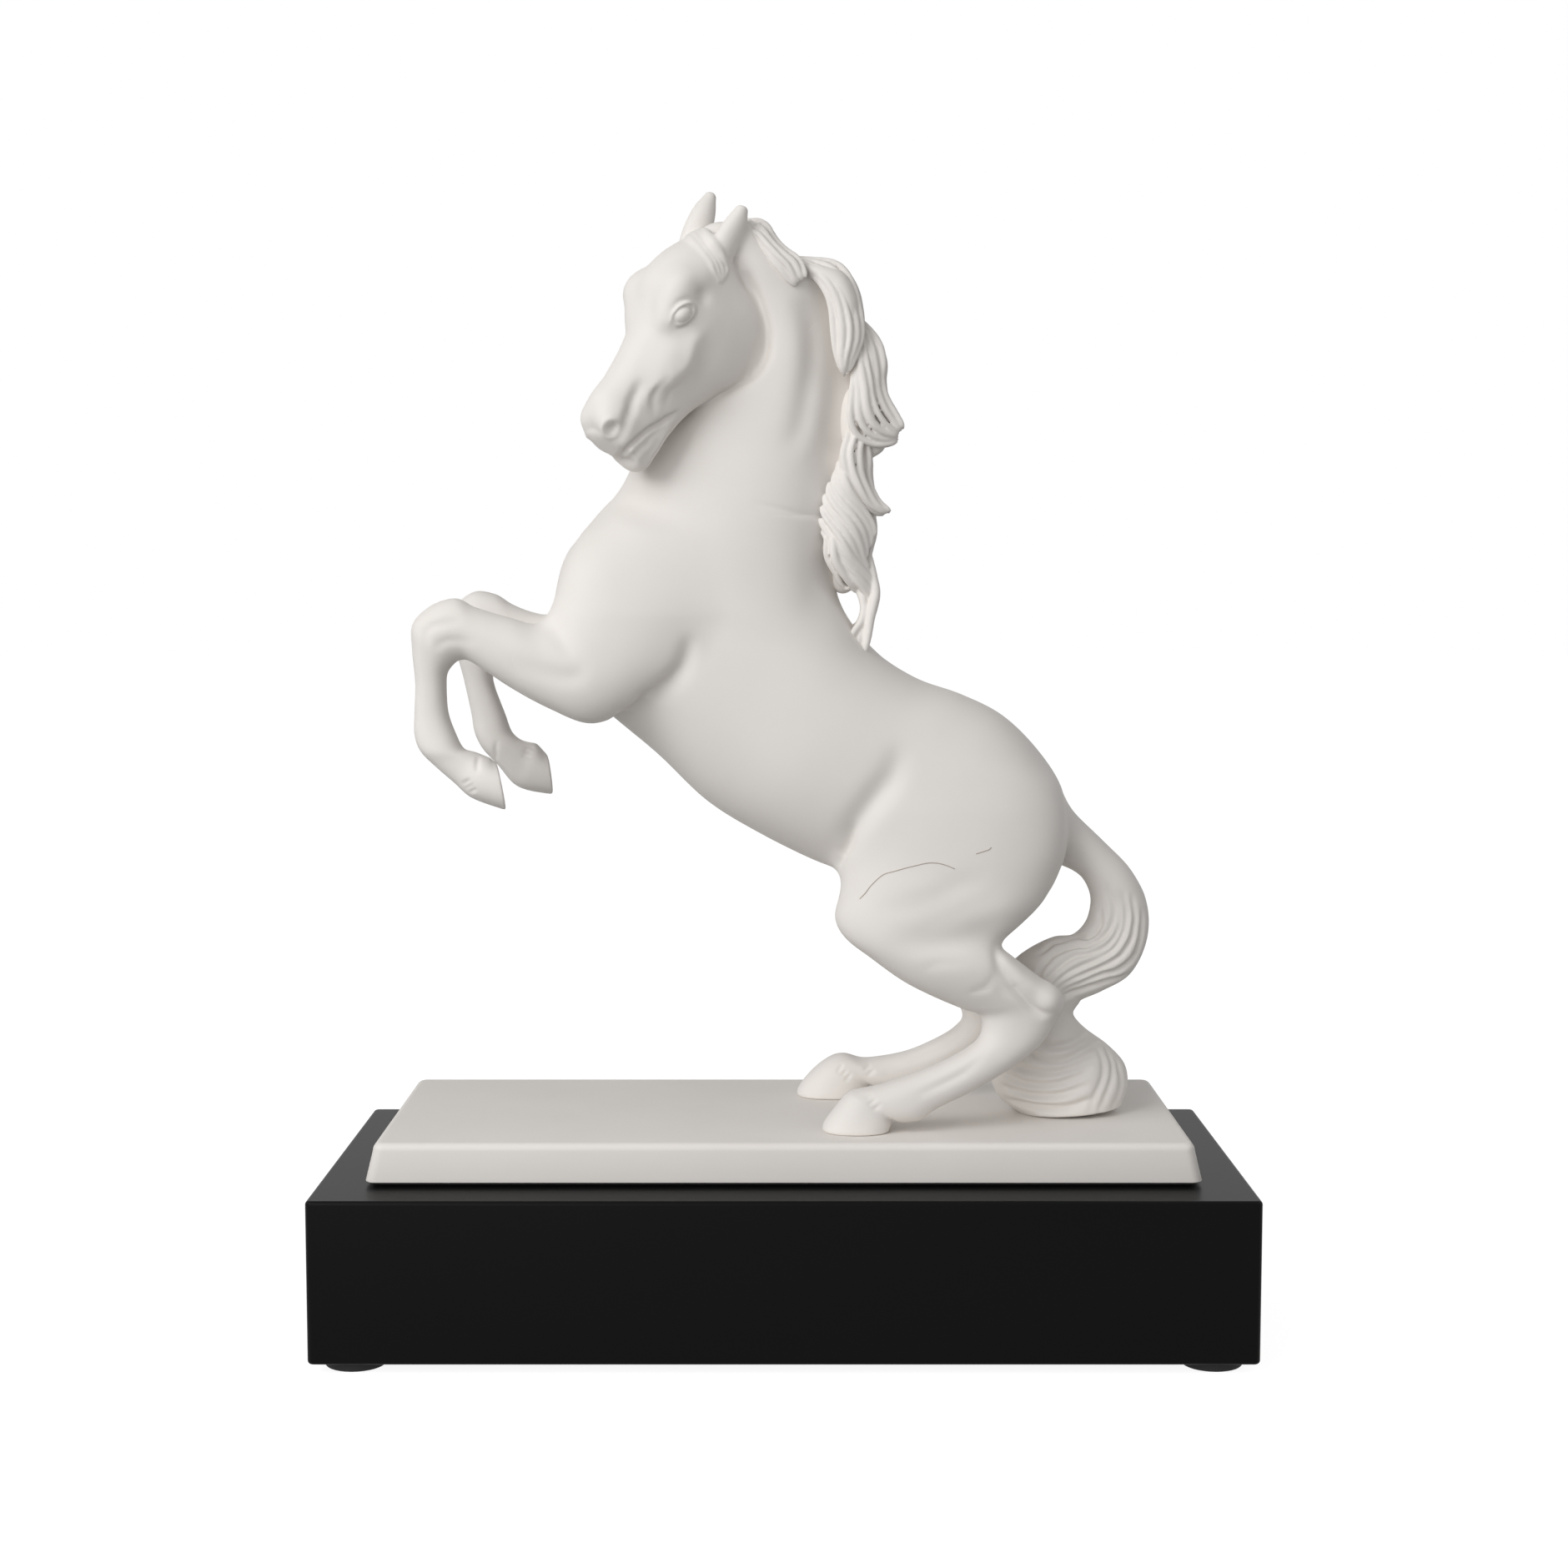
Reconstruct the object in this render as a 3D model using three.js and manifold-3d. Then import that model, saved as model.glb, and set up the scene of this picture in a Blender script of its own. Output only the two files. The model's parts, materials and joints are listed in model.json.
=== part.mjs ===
// Porcelain figurine of a rearing horse: luted bisque castings on a porcelain slab, bolted to a lacquered wooden base.
// Millimetres, +Z up. The origin is the centre of the base's outline at the level the feet stand on.
// The horse looks towards -X and its left side faces -Y.
import * as THREE from "three";
import { mergeVertices } from "three/addons/utils/BufferGeometryUtils.js";
import Module from "manifold-3d";

// Wooden base
const BASE_LENGTH = 285;
const BASE_DEPTH = 128;
const BASE_HEIGHT = 50;
const BASE_CORNER = 2;
const BASE_EDGE = 1.2;
const TOP_BOARD = 12;
const RAIL = 12;
const BOTTOM_BOARD = 6;
const GLUE_LINE = 0.2;

// Round pads under the base
const FOOT_DIAMETER = 18.6;
const FOOT_HEIGHT = 3;
const FOOT_INSET = 12.7;
const FOOT_EDGE = 0.6;

// Screws of the bottom board
const SCREW_INSET = 42.5;
const SCREW_SHANK = 3;
const SCREW_HEAD = 6;
const SCREW_LENGTH = 22;
const SCREW_CLEARANCE = 0.3;

// Porcelain slab and the felt it is bedded on
const SLAB_SIDE_MARGIN = 15;
const SLAB_FRONT_MARGIN = 17.5;
const SLAB_BACK_MARGIN = 11.5;
const SLAB_HEIGHT = 12;
const SLAB_CORNER = 2;
const SLAB_DRAFT = 0.7;
const SLAB_EDGE = 3;
const SLAB_WALL = 5;
const SLAB_CEILING = 3.4;
const FELT = 0.8;
const FELT_MARGIN = 2;

// Bolts that hold the slab from inside the base
const BOLT_INSET = 57.5;
const BOLT_SHANK = 5;
const BOLT_HEAD = 9;
const BOLT_HEAD_HEIGHT = 3.5;
const BOLT_HEAD_CROWN = 6.3;
const BOLT_CLEARANCE = 0.3;
const WASHER_DIAMETER = 14;
const WASHER = 1.2;
const INSERT_DIAMETER = 8;
const INSERT_LENGTH = 6;
const BOSS_DIAMETER = 18;

// Castings of the figure
const LUTE_SEAM = 0.3;
const CASTING_WALL = 5;
const PASSAGE_DIAMETER = 16;
const VENT_DIAMETER = 4;
const VENT_X = 44;
const VENT_BOTTOM = 60;
const VENT_TOP = 100;

// Where the head sits, how it is carried, and how far the forelock sweeps to the left of the face
const POLL_X = -24;
const POLL_Y = -9;
const POLL_Z = 275;
const HEAD_NOD = 39;
const HEAD_TURN = 37;
const HEAD_TILT = 4;
const FORELOCK_SWEEP = -45;

// The heights the neck springs from and the throat lies at, and the poll's height the sections were taken at
const NECK_ROOT = 146;
const NECK_THROAT = 235;
const SECTION_POLL_Z = 275;

// Heights that follow from the sizes above
const BASE_BOTTOM = FOOT_HEIGHT + GLUE_LINE;
const BASE_TOP = FOOT_HEIGHT + BASE_HEIGHT;
const RAIL_BOTTOM = BASE_BOTTOM + BOTTOM_BOARD + GLUE_LINE;
const RAIL_TOP = BASE_TOP - TOP_BOARD - GLUE_LINE;
const FELT_BOTTOM = BASE_TOP + GLUE_LINE;
const SLAB_BOTTOM = FELT_BOTTOM + FELT + GLUE_LINE;
const SLAB_TOP = SLAB_BOTTOM + SLAB_HEIGHT;
const SLAB_LENGTH = BASE_LENGTH - 2 * SLAB_SIDE_MARGIN;
const SLAB_DEPTH = BASE_DEPTH - SLAB_FRONT_MARGIN - SLAB_BACK_MARGIN;
const SLAB_Y = (SLAB_FRONT_MARGIN - SLAB_BACK_MARGIN) / 2;
const BOLT_X = SLAB_LENGTH / 2 - BOLT_INSET;
const SCREW_X = BASE_LENGTH / 2 - SCREW_INSET;

// Sections of the castings, each an ellipse: [x, z of one end, x, z of the other end, y of the middle, half width].
// Ends lie on the outline seen from the horse's left; z counts from the slab's top, and all are in millimetres.
const TRUNK_SECTIONS = [
  [-65, 183, -71.5, 158, 0, 15],
  [-58, 190.5, -69, 138, 0, 24],
  [-42, 194, -55, 126, 0, 28],
  [-18, 186, -40, 115, 0, 30],
  [8, 170, -24, 101, 0, 30],
  [27, 149.5, -8, 90.5, 0, 29.5],
  [42, 139.5, 9, 82, 0, 29],
  [56, 134.5, 22, 77, 0, 29.5],
  [69, 128, 36, 70, 0, 30],
  [80, 117.5, 52, 64, 0, 29],
  [87.5, 106, 68, 60, 0, 25],
  [90.5, 94, 82, 68, 0, 18],
];
const NECK_SECTIONS = [
  [-57, 180, 22, 146, 0, 23],
  [-57, 191, 19, 160, 0, 23],
  [-53, 197, 18, 176, 0, 20.5],
  [-46, 209, 20, 193, 0, 17.5],
  [-36, 220, 22, 210, 0, 15],
  [-25, 231, 24, 231, 0, 13.5],
  [-15, 242, 20, 250, -1, 12],
  [-15, 253, 14, 264, -2.5, 11.5],
  [-17, 264, 3, 275, -5, 10.5],
  [-18, 272, -9, 281, -7, 9],
];
// The head before it is turned: face upright, brow towards -X, the poll at the origin and the muzzle straight below
const HEAD_SECTIONS = [
  [-2, 1, 14, -3, 0, 8],
  [-7, -6, 25, -9, 0, 12],
  [-9.5, -15, 34, -17, 0, 14],
  [-9, -24, 35, -27, 0, 15.2],
  [-5.5, -33, 32, -36, 0, 14],
  [-2, -43, 28.5, -46, 0, 11.5],
  [0.5, -54, 27.5, -56, 0, 9.8],
  [0.5, -63, 28, -64, 0, 9],
  [2.5, -68.5, 27, -69, 0, 8.2],
  [7, -71, 21, -70.5, 0, 6.5],
];
// Ears, placed on the upright head
const LEFT_EAR_SECTIONS = [
  [0.3, -8, 7.5, -5, -7.5, 3.4],
  [-2.6, -2.6, 5.2, 1, -9.5, 3.7],
  [-4.4, 3.5, 1.8, 6.3, -11.6, 3.1],
  [-4.6, 8.3, -1.6, 9.7, -13, 1.9],
];
const RIGHT_EAR_SECTIONS = [
  [-2.5, -4.3, 6, -1.7, 8, 3.4],
  [-4.7, 2.4, 4.3, 5, 8.2, 3.9],
  [-5.8, 9.3, 1.4, 11.5, 8.4, 3.3],
  [-5.5, 14.6, -1.7, 15.8, 8.4, 2],
];
// The forelock, hanging straight down the upright face before it is swept aside
const FORELOCK_SECTIONS = [
  [-10.5, -1, -3.5, -1, 1, 4],
  [-10.5, -9.3, -4, -7, 0, 4.2],
  [-7, -17.4, -1.6, -13, -1, 3.8],
  [-1.5, -22, 2.5, -17.4, -1.2, 2.8],
  [3.4, -23, 5, -20.4, -0.5, 1.5],
];
const MANE_POLL_SECTIONS = [
  [-18, 279.5, -19, 272, -7, 6.5],
  [-10, 282, -13, 273, -9, 7.5],
  [-3.5, 279, -9, 271, -10, 7],
  [1, 272, -4, 266.5, -11, 5],
  [4, 265, 0.5, 263, -12, 3],
];
const MANE_UPPER_SECTIONS = [
  [1, 272, 1, 263.5, -5, 7],
  [12, 270, 8, 260.5, -7, 8.5],
  [20, 267, 11.5, 257.5, -8, 8.5],
  [24.5, 259.5, 13.5, 252, -9, 8],
  [25.5, 250, 14.5, 245, -10, 7],
  [24.5, 241, 16, 238.5, -11, 5.5],
  [20.5, 235, 17.5, 234.5, -12, 3],
];
const MANE_MIDDLE_SECTIONS = [
  [26, 249.5, 20, 241, -4, 7],
  [31, 244, 21, 235.5, -5, 8],
  [32.5, 236.5, 20.5, 230, -6, 8],
  [32.5, 229.5, 19, 223, -6, 7.5],
  [35.5, 222.5, 18.5, 216, -6, 7],
  [36.5, 217, 20, 211, -6, 6],
  [33.5, 212.5, 22, 208.5, -6, 4.5],
];
const MANE_LOWER_SECTIONS = [
  [29, 213, 16, 208, -5, 7],
  [28.5, 204, 14.5, 200.5, -6, 7.5],
  [30.5, 197, 12.5, 192.5, -6, 7],
  [30.5, 191, 11, 186, -6, 6.5],
  [28.5, 182, 12.5, 178, -5, 6],
  [28.5, 174, 16, 170, -4, 5.5],
  [30.5, 166.5, 22.5, 166.5, -3, 5],
  [29.6, 159.5, 23.5, 160.5, -2, 4.5],
  [27.8, 153, 19, 155.5, -1, 4],
  [25, 147, 16, 149, 0, 4],
];
const LEFT_FORELEG_SECTIONS = [
  [-55, 187, -31, 171, -16, 9],
  [-67, 177, -30, 156.5, -19, 12],
  [-71, 163, -34, 142, -21, 13.5],
  [-74.5, 157.5, -48.5, 132.5, -23, 13],
  [-77.5, 157, -61, 127.5, -24, 12],
  [-83.5, 159, -72.5, 132, -25, 11],
  [-89, 160.5, -83, 138, -25.5, 10],
  [-95, 162.5, -91, 142.5, -26, 9],
  [-100.5, 165, -96.5, 146, -26, 8.6],
  [-107.5, 163, -99.5, 146, -26, 8.6],
  [-113, 157.5, -101, 145, -26, 8.2],
  [-113.5, 150, -103, 142.5, -26, 7],
  [-112.5, 139, -103.5, 138.5, -26, 5.8],
  [-113, 129.5, -103, 130, -26, 5.4],
  [-113, 123.5, -101, 124, -26, 6],
  [-111, 118.5, -98.5, 119, -26, 6.8],
  [-106.5, 113.5, -95.5, 118, -26, 6.4],
  [-101, 109, -94, 117.5, -26, 6.6],
  [-96.5, 104.5, -90.5, 116, -26, 8],
  [-86.5, 101, -88.5, 114.5, -26, 8.6],
];
const RIGHT_FORELEG_SECTIONS = [
  [-55, 187, -31, 171, 16, 9],
  [-67, 177, -31, 156, 19, 12],
  [-70, 166, -36, 141, 21, 13],
  [-75.5, 159, -53.5, 131, 22, 12.5],
  [-82, 160, -68, 130.5, 22.5, 11.5],
  [-88.5, 162.5, -79, 137, 23, 10],
  [-94.5, 166, -88.5, 142, 23, 9],
  [-101, 166.5, -93.5, 144, 23, 8.6],
  [-107, 161.5, -94.5, 142.5, 23, 8.3],
  [-107.5, 151.5, -95, 140.5, 23, 7.2],
  [-104.5, 138.5, -94.5, 136, 23, 5.8],
  [-102, 126.5, -91, 126.5, 23, 5.4],
  [-101, 120.5, -89, 121, 23, 6],
  [-98.5, 115.5, -86.5, 118.5, 23, 6.6],
  [-93.5, 110, -83.5, 117.5, 23, 6.4],
  [-88.5, 104, -81, 117, 23, 6.8],
  [-84.5, 102, -79.5, 115.5, 23, 8],
  [-76, 100.5, -77.5, 113.5, 23, 8.6],
];
const LEFT_HIND_LEG_SECTIONS = [
  [39, 114, 80, 102, -14, 9],
  [27.5, 100.5, 86, 87, -17, 13],
  [20.5, 86, 86, 80.5, -18.5, 15],
  [18, 73.5, 82, 71.5, -20, 15.5],
  [16, 65.5, 75.5, 65, -21, 15],
  [19.5, 60, 69.5, 60, -22.5, 14],
  [27, 54.5, 69, 57, -24, 13],
  [37, 48, 72.5, 53.5, -25, 11.5],
  [46.5, 43, 78, 48, -25, 10],
  [55, 39, 84.5, 43, -24.5, 8.8],
  [60.5, 36, 87.5, 39, -24, 8.2],
  [61.5, 32.5, 86, 34.5, -24, 7.8],
  [60.5, 28.5, 80.5, 27.5, -24.5, 7.3],
  [55.5, 24.5, 71.5, 20, -25, 7],
  [45, 19.5, 58, 12, -26, 6.4],
  [35, 16, 47.5, 7, -27, 6.6],
  [28, 14, 42, 3.5, -27.5, 7],
  [23, 13, 36, 3, -27.5, 6.8],
  [20, 12, 33.5, 4.5, -27.5, 7.2],
  [16, 7.5, 33.5, 2.5, -27.5, 8],
  [12, 1.5, 33, 1, -27.5, 8.6],
  [12, LUTE_SEAM, 33, LUTE_SEAM, -27.5, 8.6],
];
const RIGHT_HIND_LEG_SECTIONS = [
  [39, 112, 80, 100, 14, 9],
  [26.5, 98, 86, 85, 17, 13],
  [19.5, 83.5, 86, 78, 18.5, 15],
  [16.5, 71, 81.5, 68.5, 20, 15],
  [14.5, 62.5, 75, 61.5, 21, 14.5],
  [17.5, 57, 69, 56, 22, 13.5],
  [24, 51, 68, 52, 23, 12.5],
  [34.5, 44, 71, 47.5, 23.5, 11],
  [44, 38.5, 76, 42, 24, 9.8],
  [52.5, 33.5, 81.5, 37, 24, 8.8],
  [58, 30, 84.5, 33, 24, 8.2],
  [59, 26.5, 83, 28.5, 24, 7.8],
  [57, 23.5, 77, 21.5, 24, 7.3],
  [52, 20, 67, 14.5, 24, 6.8],
  [41, 15, 52.5, 7.5, 24.5, 6.3],
  [32, 13, 42.5, 3.5, 25, 6.5],
  [25.5, 12.5, 36.5, 2.5, 25, 7],
  [20, 12.5, 31.5, 2.5, 25, 6.8],
  [16, 12, 28.5, 4, 25, 7.2],
  [10, 7.5, 28, 2.5, 25, 8],
  [4.5, 1.5, 27, 1, 25, 8.6],
  [4.5, LUTE_SEAM, 27, LUTE_SEAM, 25, 8.6],
];
const TAIL_DOCK_SECTIONS = [
  [83, 104, 81, 84, 0, 9],
  [90, 101, 88, 80, 0, 8.5],
  [95, 95, 91.5, 78.5, 0, 8.5],
  [102.5, 87, 95, 76, 0, 8.5],
  [111, 78, 97.5, 71.5, 0, 9],
  [116.5, 66.5, 98, 67, 0, 9.5],
  [116.5, 55, 96.5, 61.5, 0, 10],
  [110.5, 45, 92.5, 57.5, 0, 10.5],
  [101, 39.5, 86, 56.5, 0, 11],
  [94.5, 35.5, 78, 52.5, 0, 11.5],
];
const TAIL_CURL_SECTIONS = [
  [94.5, 35.5, 77, 50, 0, 11],
  [93, 31.5, 72, 36, 0, 12],
  [96.5, 27, 68, 26, 0, 13],
  [104, 21, 66, 16, 0, 14],
  [109.5, 15.5, 67, 9, 0, 14.5],
  [110.5, 9, 70, 4, 0, 14],
  [108.5, 2.5, 75.5, 0, 0, 13],
];

const PORCELAIN = { color: 0xe6e2dd, roughness: 0.62, metalness: 0 };
const LACQUER = { color: 0x121212, roughness: 0.35, metalness: 0 };
const RUBBER = { color: 0x161616, roughness: 0.8, metalness: 0 };
const FELT_CLOTH = { color: 0x1b1b1c, roughness: 0.95, metalness: 0 };
const STEEL = { color: 0x9a9c9f, roughness: 0.35, metalness: 1 };
const BRASS = { color: 0xb08d4a, roughness: 0.35, metalness: 1 };

// Fineness of the round forms
const ROUND_SIDES = 12;
const CORNER_STEPS = 4;
const EDGE_STEPS = 3;
const DOME_ANGLES = [30, 60, 80];
const SHARPEST_CORNER = 0.2;
const CUT_PAST = 1;
const MERGE_DISTANCE = 1e-4;

const wasm = await Module();
wasm.setup();

// A closed geometry as a solid that can be cut and joined.
function solid(geometry) {
  const bare = new THREE.BufferGeometry();
  bare.setAttribute("position", geometry.getAttribute("position"));
  bare.setIndex(geometry.getIndex());
  const merged = mergeVertices(bare, MERGE_DISTANCE);
  const vertProperties = new Float32Array(merged.getAttribute("position").array);
  const triVerts = new Uint32Array(merged.getIndex().array);
  return new wasm.Manifold(new wasm.Mesh({ numProp: 3, vertProperties, triVerts }));
}

function geometryOf(body) {
  const mesh = body.getMesh();
  const geometry = new THREE.BufferGeometry();
  geometry.setAttribute("position", new THREE.BufferAttribute(mesh.vertProperties, 3));
  geometry.setIndex(new THREE.BufferAttribute(mesh.triVerts, 1));
  geometry.computeVertexNormals();
  return geometry;
}

// Skins rings of points that all run the same way round, and closes both ends with a fan.
function skin(rings) {
  const sides = rings[0].length;
  const positions = [];
  const index = [];
  for (const ring of rings) {
    for (const point of ring) positions.push(point.x, point.y, point.z);
  }
  for (let i = 0; i + 1 < rings.length; i += 1) {
    for (let j = 0; j < sides; j += 1) {
      const a = i * sides + j;
      const b = i * sides + ((j + 1) % sides);
      index.push(a, b, b + sides, a, b + sides, a + sides);
    }
  }
  for (const [ring, start, flip] of [[rings[0], 0, true], [rings.at(-1), (rings.length - 1) * sides, false]]) {
    const middle = ring.reduce((sum, point) => sum.add(point), new THREE.Vector3()).divideScalar(sides);
    const hub = positions.length / 3;
    positions.push(middle.x, middle.y, middle.z);
    for (let j = 0; j < sides; j += 1) {
      const a = start + j;
      const b = start + ((j + 1) % sides);
      index.push(hub, flip ? b : a, flip ? a : b);
    }
  }
  const geometry = new THREE.BufferGeometry();
  geometry.setAttribute("position", new THREE.Float32BufferAttribute(positions, 3));
  geometry.setIndex(index);
  return geometry;
}

// A casting's outer form through its sections, with domed ends of the given height.
// Grow moves the skin outwards, and square under 1 makes the ellipses boxier.
function loft(sections, { sides = 12, steps = 1, dome = [0, 0], grow = 0, square = 1 } = {}) {
  const bulge = (share) => Math.sign(share) * Math.abs(share) ** square;
  const curve = (pick) => new THREE.CatmullRomCurve3(sections.map(pick));
  const near = curve(([x, z, , , y]) => new THREE.Vector3(x, y, z));
  const far = curve(([, , x, z, y]) => new THREE.Vector3(x, y, z));
  const width = curve(([, , , , , half], i) => new THREE.Vector3(half, i, 0));
  const count = (sections.length - 1) * steps;
  const slices = [];
  for (let i = 0; i <= count; i += 1) {
    const a = near.getPoint(i / count);
    const b = far.getPoint(i / count);
    const middle = a.clone().add(b).multiplyScalar(0.5);
    const reach = a.sub(b).multiplyScalar(0.5);
    slices.push({ middle, reach: reach.setLength(reach.length() + grow), half: width.getPoint(i / count).x + grow });
  }
  const ends = [[slices[0], slices[1], dome[0]], [slices.at(-1), slices.at(-2), dome[1]]];
  const [first, last] = ends.map(([end, inner, height]) => {
    const out = end.middle.clone().sub(inner.middle).normalize();
    const caps = height > 0 ? DOME_ANGLES.map((angle) => Math.sin(THREE.MathUtils.degToRad(angle))) : [0];
    return caps.map((share) => {
      const shrink = Math.sqrt(1 - share * share);
      const middle = end.middle.clone().addScaledVector(out, (height + grow) * share + (height > 0 ? 0 : grow));
      return { middle, reach: end.reach.clone().multiplyScalar(shrink), half: end.half * shrink };
    });
  });
  const open = slices.slice(first.length > 1 ? 0 : 1, last.length > 1 ? undefined : -1);
  const rings = [...first.reverse(), ...open, ...last].map(({ middle, reach, half }) => {
    const ring = [];
    for (let j = 0; j < sides; j += 1) {
      const angle = (2 * Math.PI * j) / sides;
      const point = middle.clone().addScaledVector(reach, bulge(Math.cos(angle)));
      ring.push(point.add(new THREE.Vector3(0, half * bulge(Math.sin(angle)), 0)));
    }
    return ring;
  });
  const body = solid(skin(rings));
  return body.volume() > 0 ? body : solid(skin(rings.map((ring) => ring.reverse())));
}

// A rounded rectangle stacked in layers of [height, inset from the outline].
function stacked(length, depth, corner, layers) {
  const rings = layers.map(([z, inset]) => {
    const ring = [];
    const round = Math.max(corner - inset, SHARPEST_CORNER);
    for (const [sx, sy, from] of [[1, 1, 0], [-1, 1, 1], [-1, -1, 2], [1, -1, 3]]) {
      for (let k = 0; k <= CORNER_STEPS; k += 1) {
        const angle = ((from + k / CORNER_STEPS) * Math.PI) / 2;
        const x = sx * (length / 2 - inset - round) + round * Math.cos(angle);
        const y = sy * (depth / 2 - inset - round) + round * Math.sin(angle);
        ring.push(new THREE.Vector3(x, y, z));
      }
    }
    return ring;
  });
  return solid(skin(rings));
}

// Layers up a rounded top edge of the given radius, from its shoulder's height and inset.
function roundedEdge(shoulder, inset, radius) {
  const layers = [];
  for (let k = 0; k <= EDGE_STEPS; k += 1) {
    const angle = (k / EDGE_STEPS) * (Math.PI / 2);
    layers.push([shoulder + radius * Math.sin(angle), inset + radius * (1 - Math.cos(angle))]);
  }
  return layers;
}

// A turned piece from a profile of [radius, height] that starts and ends on the axis.
function turned(profile, x, y) {
  const points = profile.map(([radius, z]) => new THREE.Vector2(radius, z));
  const geometry = new THREE.LatheGeometry(points, ROUND_SIDES);
  geometry.rotateX(Math.PI / 2);
  geometry.translate(x, y, 0);
  return solid(geometry);
}

function rod(diameter, bottom, top, x, y) {
  const radius = diameter / 2;
  return turned([[0, bottom], [radius, bottom], [radius, top], [0, top]], x, y);
}

function box(length, depth, bottom, top, x, y) {
  const geometry = new THREE.BoxGeometry(length, depth, top - bottom);
  geometry.translate(x, y, (bottom + top) / 2);
  return solid(geometry);
}

const figurine = new THREE.Group();
figurine.name = "figurine";

function place(name, body, finish, parent = figurine) {
  const mesh = new THREE.Mesh(geometryOf(body), new THREE.MeshStandardMaterial(finish));
  mesh.name = name;
  parent.add(mesh);
}

// Figure: every casting is trimmed back by a seam where it meets one that was set before it.
const figure = new THREE.Group();
figure.position.z = SLAB_TOP;
figurine.add(figure);

const headPose = new THREE.Matrix4();
headPose.multiply(new THREE.Matrix4().makeTranslation(POLL_X, POLL_Y, POLL_Z));
headPose.multiply(new THREE.Matrix4().makeRotationZ(THREE.MathUtils.degToRad(HEAD_TURN)));
headPose.multiply(new THREE.Matrix4().makeRotationX(THREE.MathUtils.degToRad(HEAD_TILT)));
headPose.multiply(new THREE.Matrix4().makeRotationY(THREE.MathUtils.degToRad(HEAD_NOD)));

const forelockPose = headPose.clone();
forelockPose.multiply(new THREE.Matrix4().makeRotationX(THREE.MathUtils.degToRad(FORELOCK_SWEEP)));

function posed(body, pose) {
  const geometry = geometryOf(body);
  geometry.applyMatrix4(pose);
  return solid(geometry);
}

const TRUNK_FORM = { sides: 18, steps: 1, dome: [3, 2] };
const NECK_FORM = { sides: 16, steps: 1, dome: [0, 3] };
const HEAD_FORM = { sides: 16, steps: 1, dome: [2, 2], square: 0.8 };
const LEG_FORM = { sides: 12, steps: 1 };
const EAR_FORM = { sides: 10, steps: 1, dome: [0, 1.2] };
const LOCK_FORM = { sides: 10, steps: 1, dome: [1.5, 2] };
const TAIL_FORM = { sides: 12, steps: 1, dome: [0, 3] };

// The forms with a pair of skins: as cast, and grown by the seam to trim whatever is set against them.
function casting(sections, form, pose) {
  const grown = loft(sections, { ...form, grow: LUTE_SEAM });
  const plain = loft(sections, form);
  return pose ? { plain: posed(plain, pose), grown: posed(grown, pose) } : { plain, grown };
}

// Sections of the neck and mane, carried up and down with the poll above the throat and stretched below it.
function raised(sections) {
  const rise = POLL_Z - SECTION_POLL_Z;
  const stretch = 1 + rise / (NECK_THROAT - NECK_ROOT);
  const lift = (z) => (z > NECK_THROAT ? z + rise : NECK_ROOT + (z - NECK_ROOT) * stretch);
  return sections.map(([x1, z1, x2, z2, y, half]) => [x1, lift(z1), x2, lift(z2), y, half]);
}

function trimmed(child, parents) {
  return parents.reduce((body, parent) => body.subtract(parent.grown), child.plain);
}

const trunk = casting(TRUNK_SECTIONS, TRUNK_FORM);
const neckSections = raised(NECK_SECTIONS);
const neck = casting(neckSections, NECK_FORM);
const head = casting(HEAD_SECTIONS, HEAD_FORM, headPose);
const leftForeleg = casting(LEFT_FORELEG_SECTIONS, LEG_FORM);
const rightForeleg = casting(RIGHT_FORELEG_SECTIONS, LEG_FORM);
const leftHindLeg = casting(LEFT_HIND_LEG_SECTIONS, LEG_FORM);
const rightHindLeg = casting(RIGHT_HIND_LEG_SECTIONS, LEG_FORM);
const leftEar = casting(LEFT_EAR_SECTIONS, EAR_FORM, headPose);
const rightEar = casting(RIGHT_EAR_SECTIONS, EAR_FORM, headPose);
const forelock = casting(FORELOCK_SECTIONS, LOCK_FORM, forelockPose);
const manePoll = casting(raised(MANE_POLL_SECTIONS), LOCK_FORM);
const maneUpper = casting(raised(MANE_UPPER_SECTIONS), LOCK_FORM);
const maneMiddle = casting(raised(MANE_MIDDLE_SECTIONS), LOCK_FORM);
const maneLower = casting(raised(MANE_LOWER_SECTIONS), LOCK_FORM);
const tailDock = casting(TAIL_DOCK_SECTIONS, TAIL_FORM);
const tailCurl = casting(TAIL_CURL_SECTIONS, TAIL_FORM);

// Hollows left by the slip, with the passage between trunk and neck and the kiln vent under the loins
const trunkHollow = loft(TRUNK_SECTIONS.slice(1, -1), { ...TRUNK_FORM, grow: -CASTING_WALL, dome: [0, 0] });
const neckHollow = loft(neckSections.slice(0, -4), { ...NECK_FORM, grow: -CASTING_WALL, dome: [0, 0] });
const [passageBottom, passageTop] = [TRUNK_SECTIONS[3], neckSections[3]].map(([, a, , b]) => (a + b) / 2);
const [trunkX, neckX] = [TRUNK_SECTIONS[3], neckSections[3]].map(([a, , b]) => (a + b) / 2);
const passage = rod(PASSAGE_DIAMETER, passageBottom, passageTop, (trunkX + neckX) / 2, 0);
const vent = rod(VENT_DIAMETER, VENT_BOTTOM, VENT_TOP, VENT_X, 0);

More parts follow.
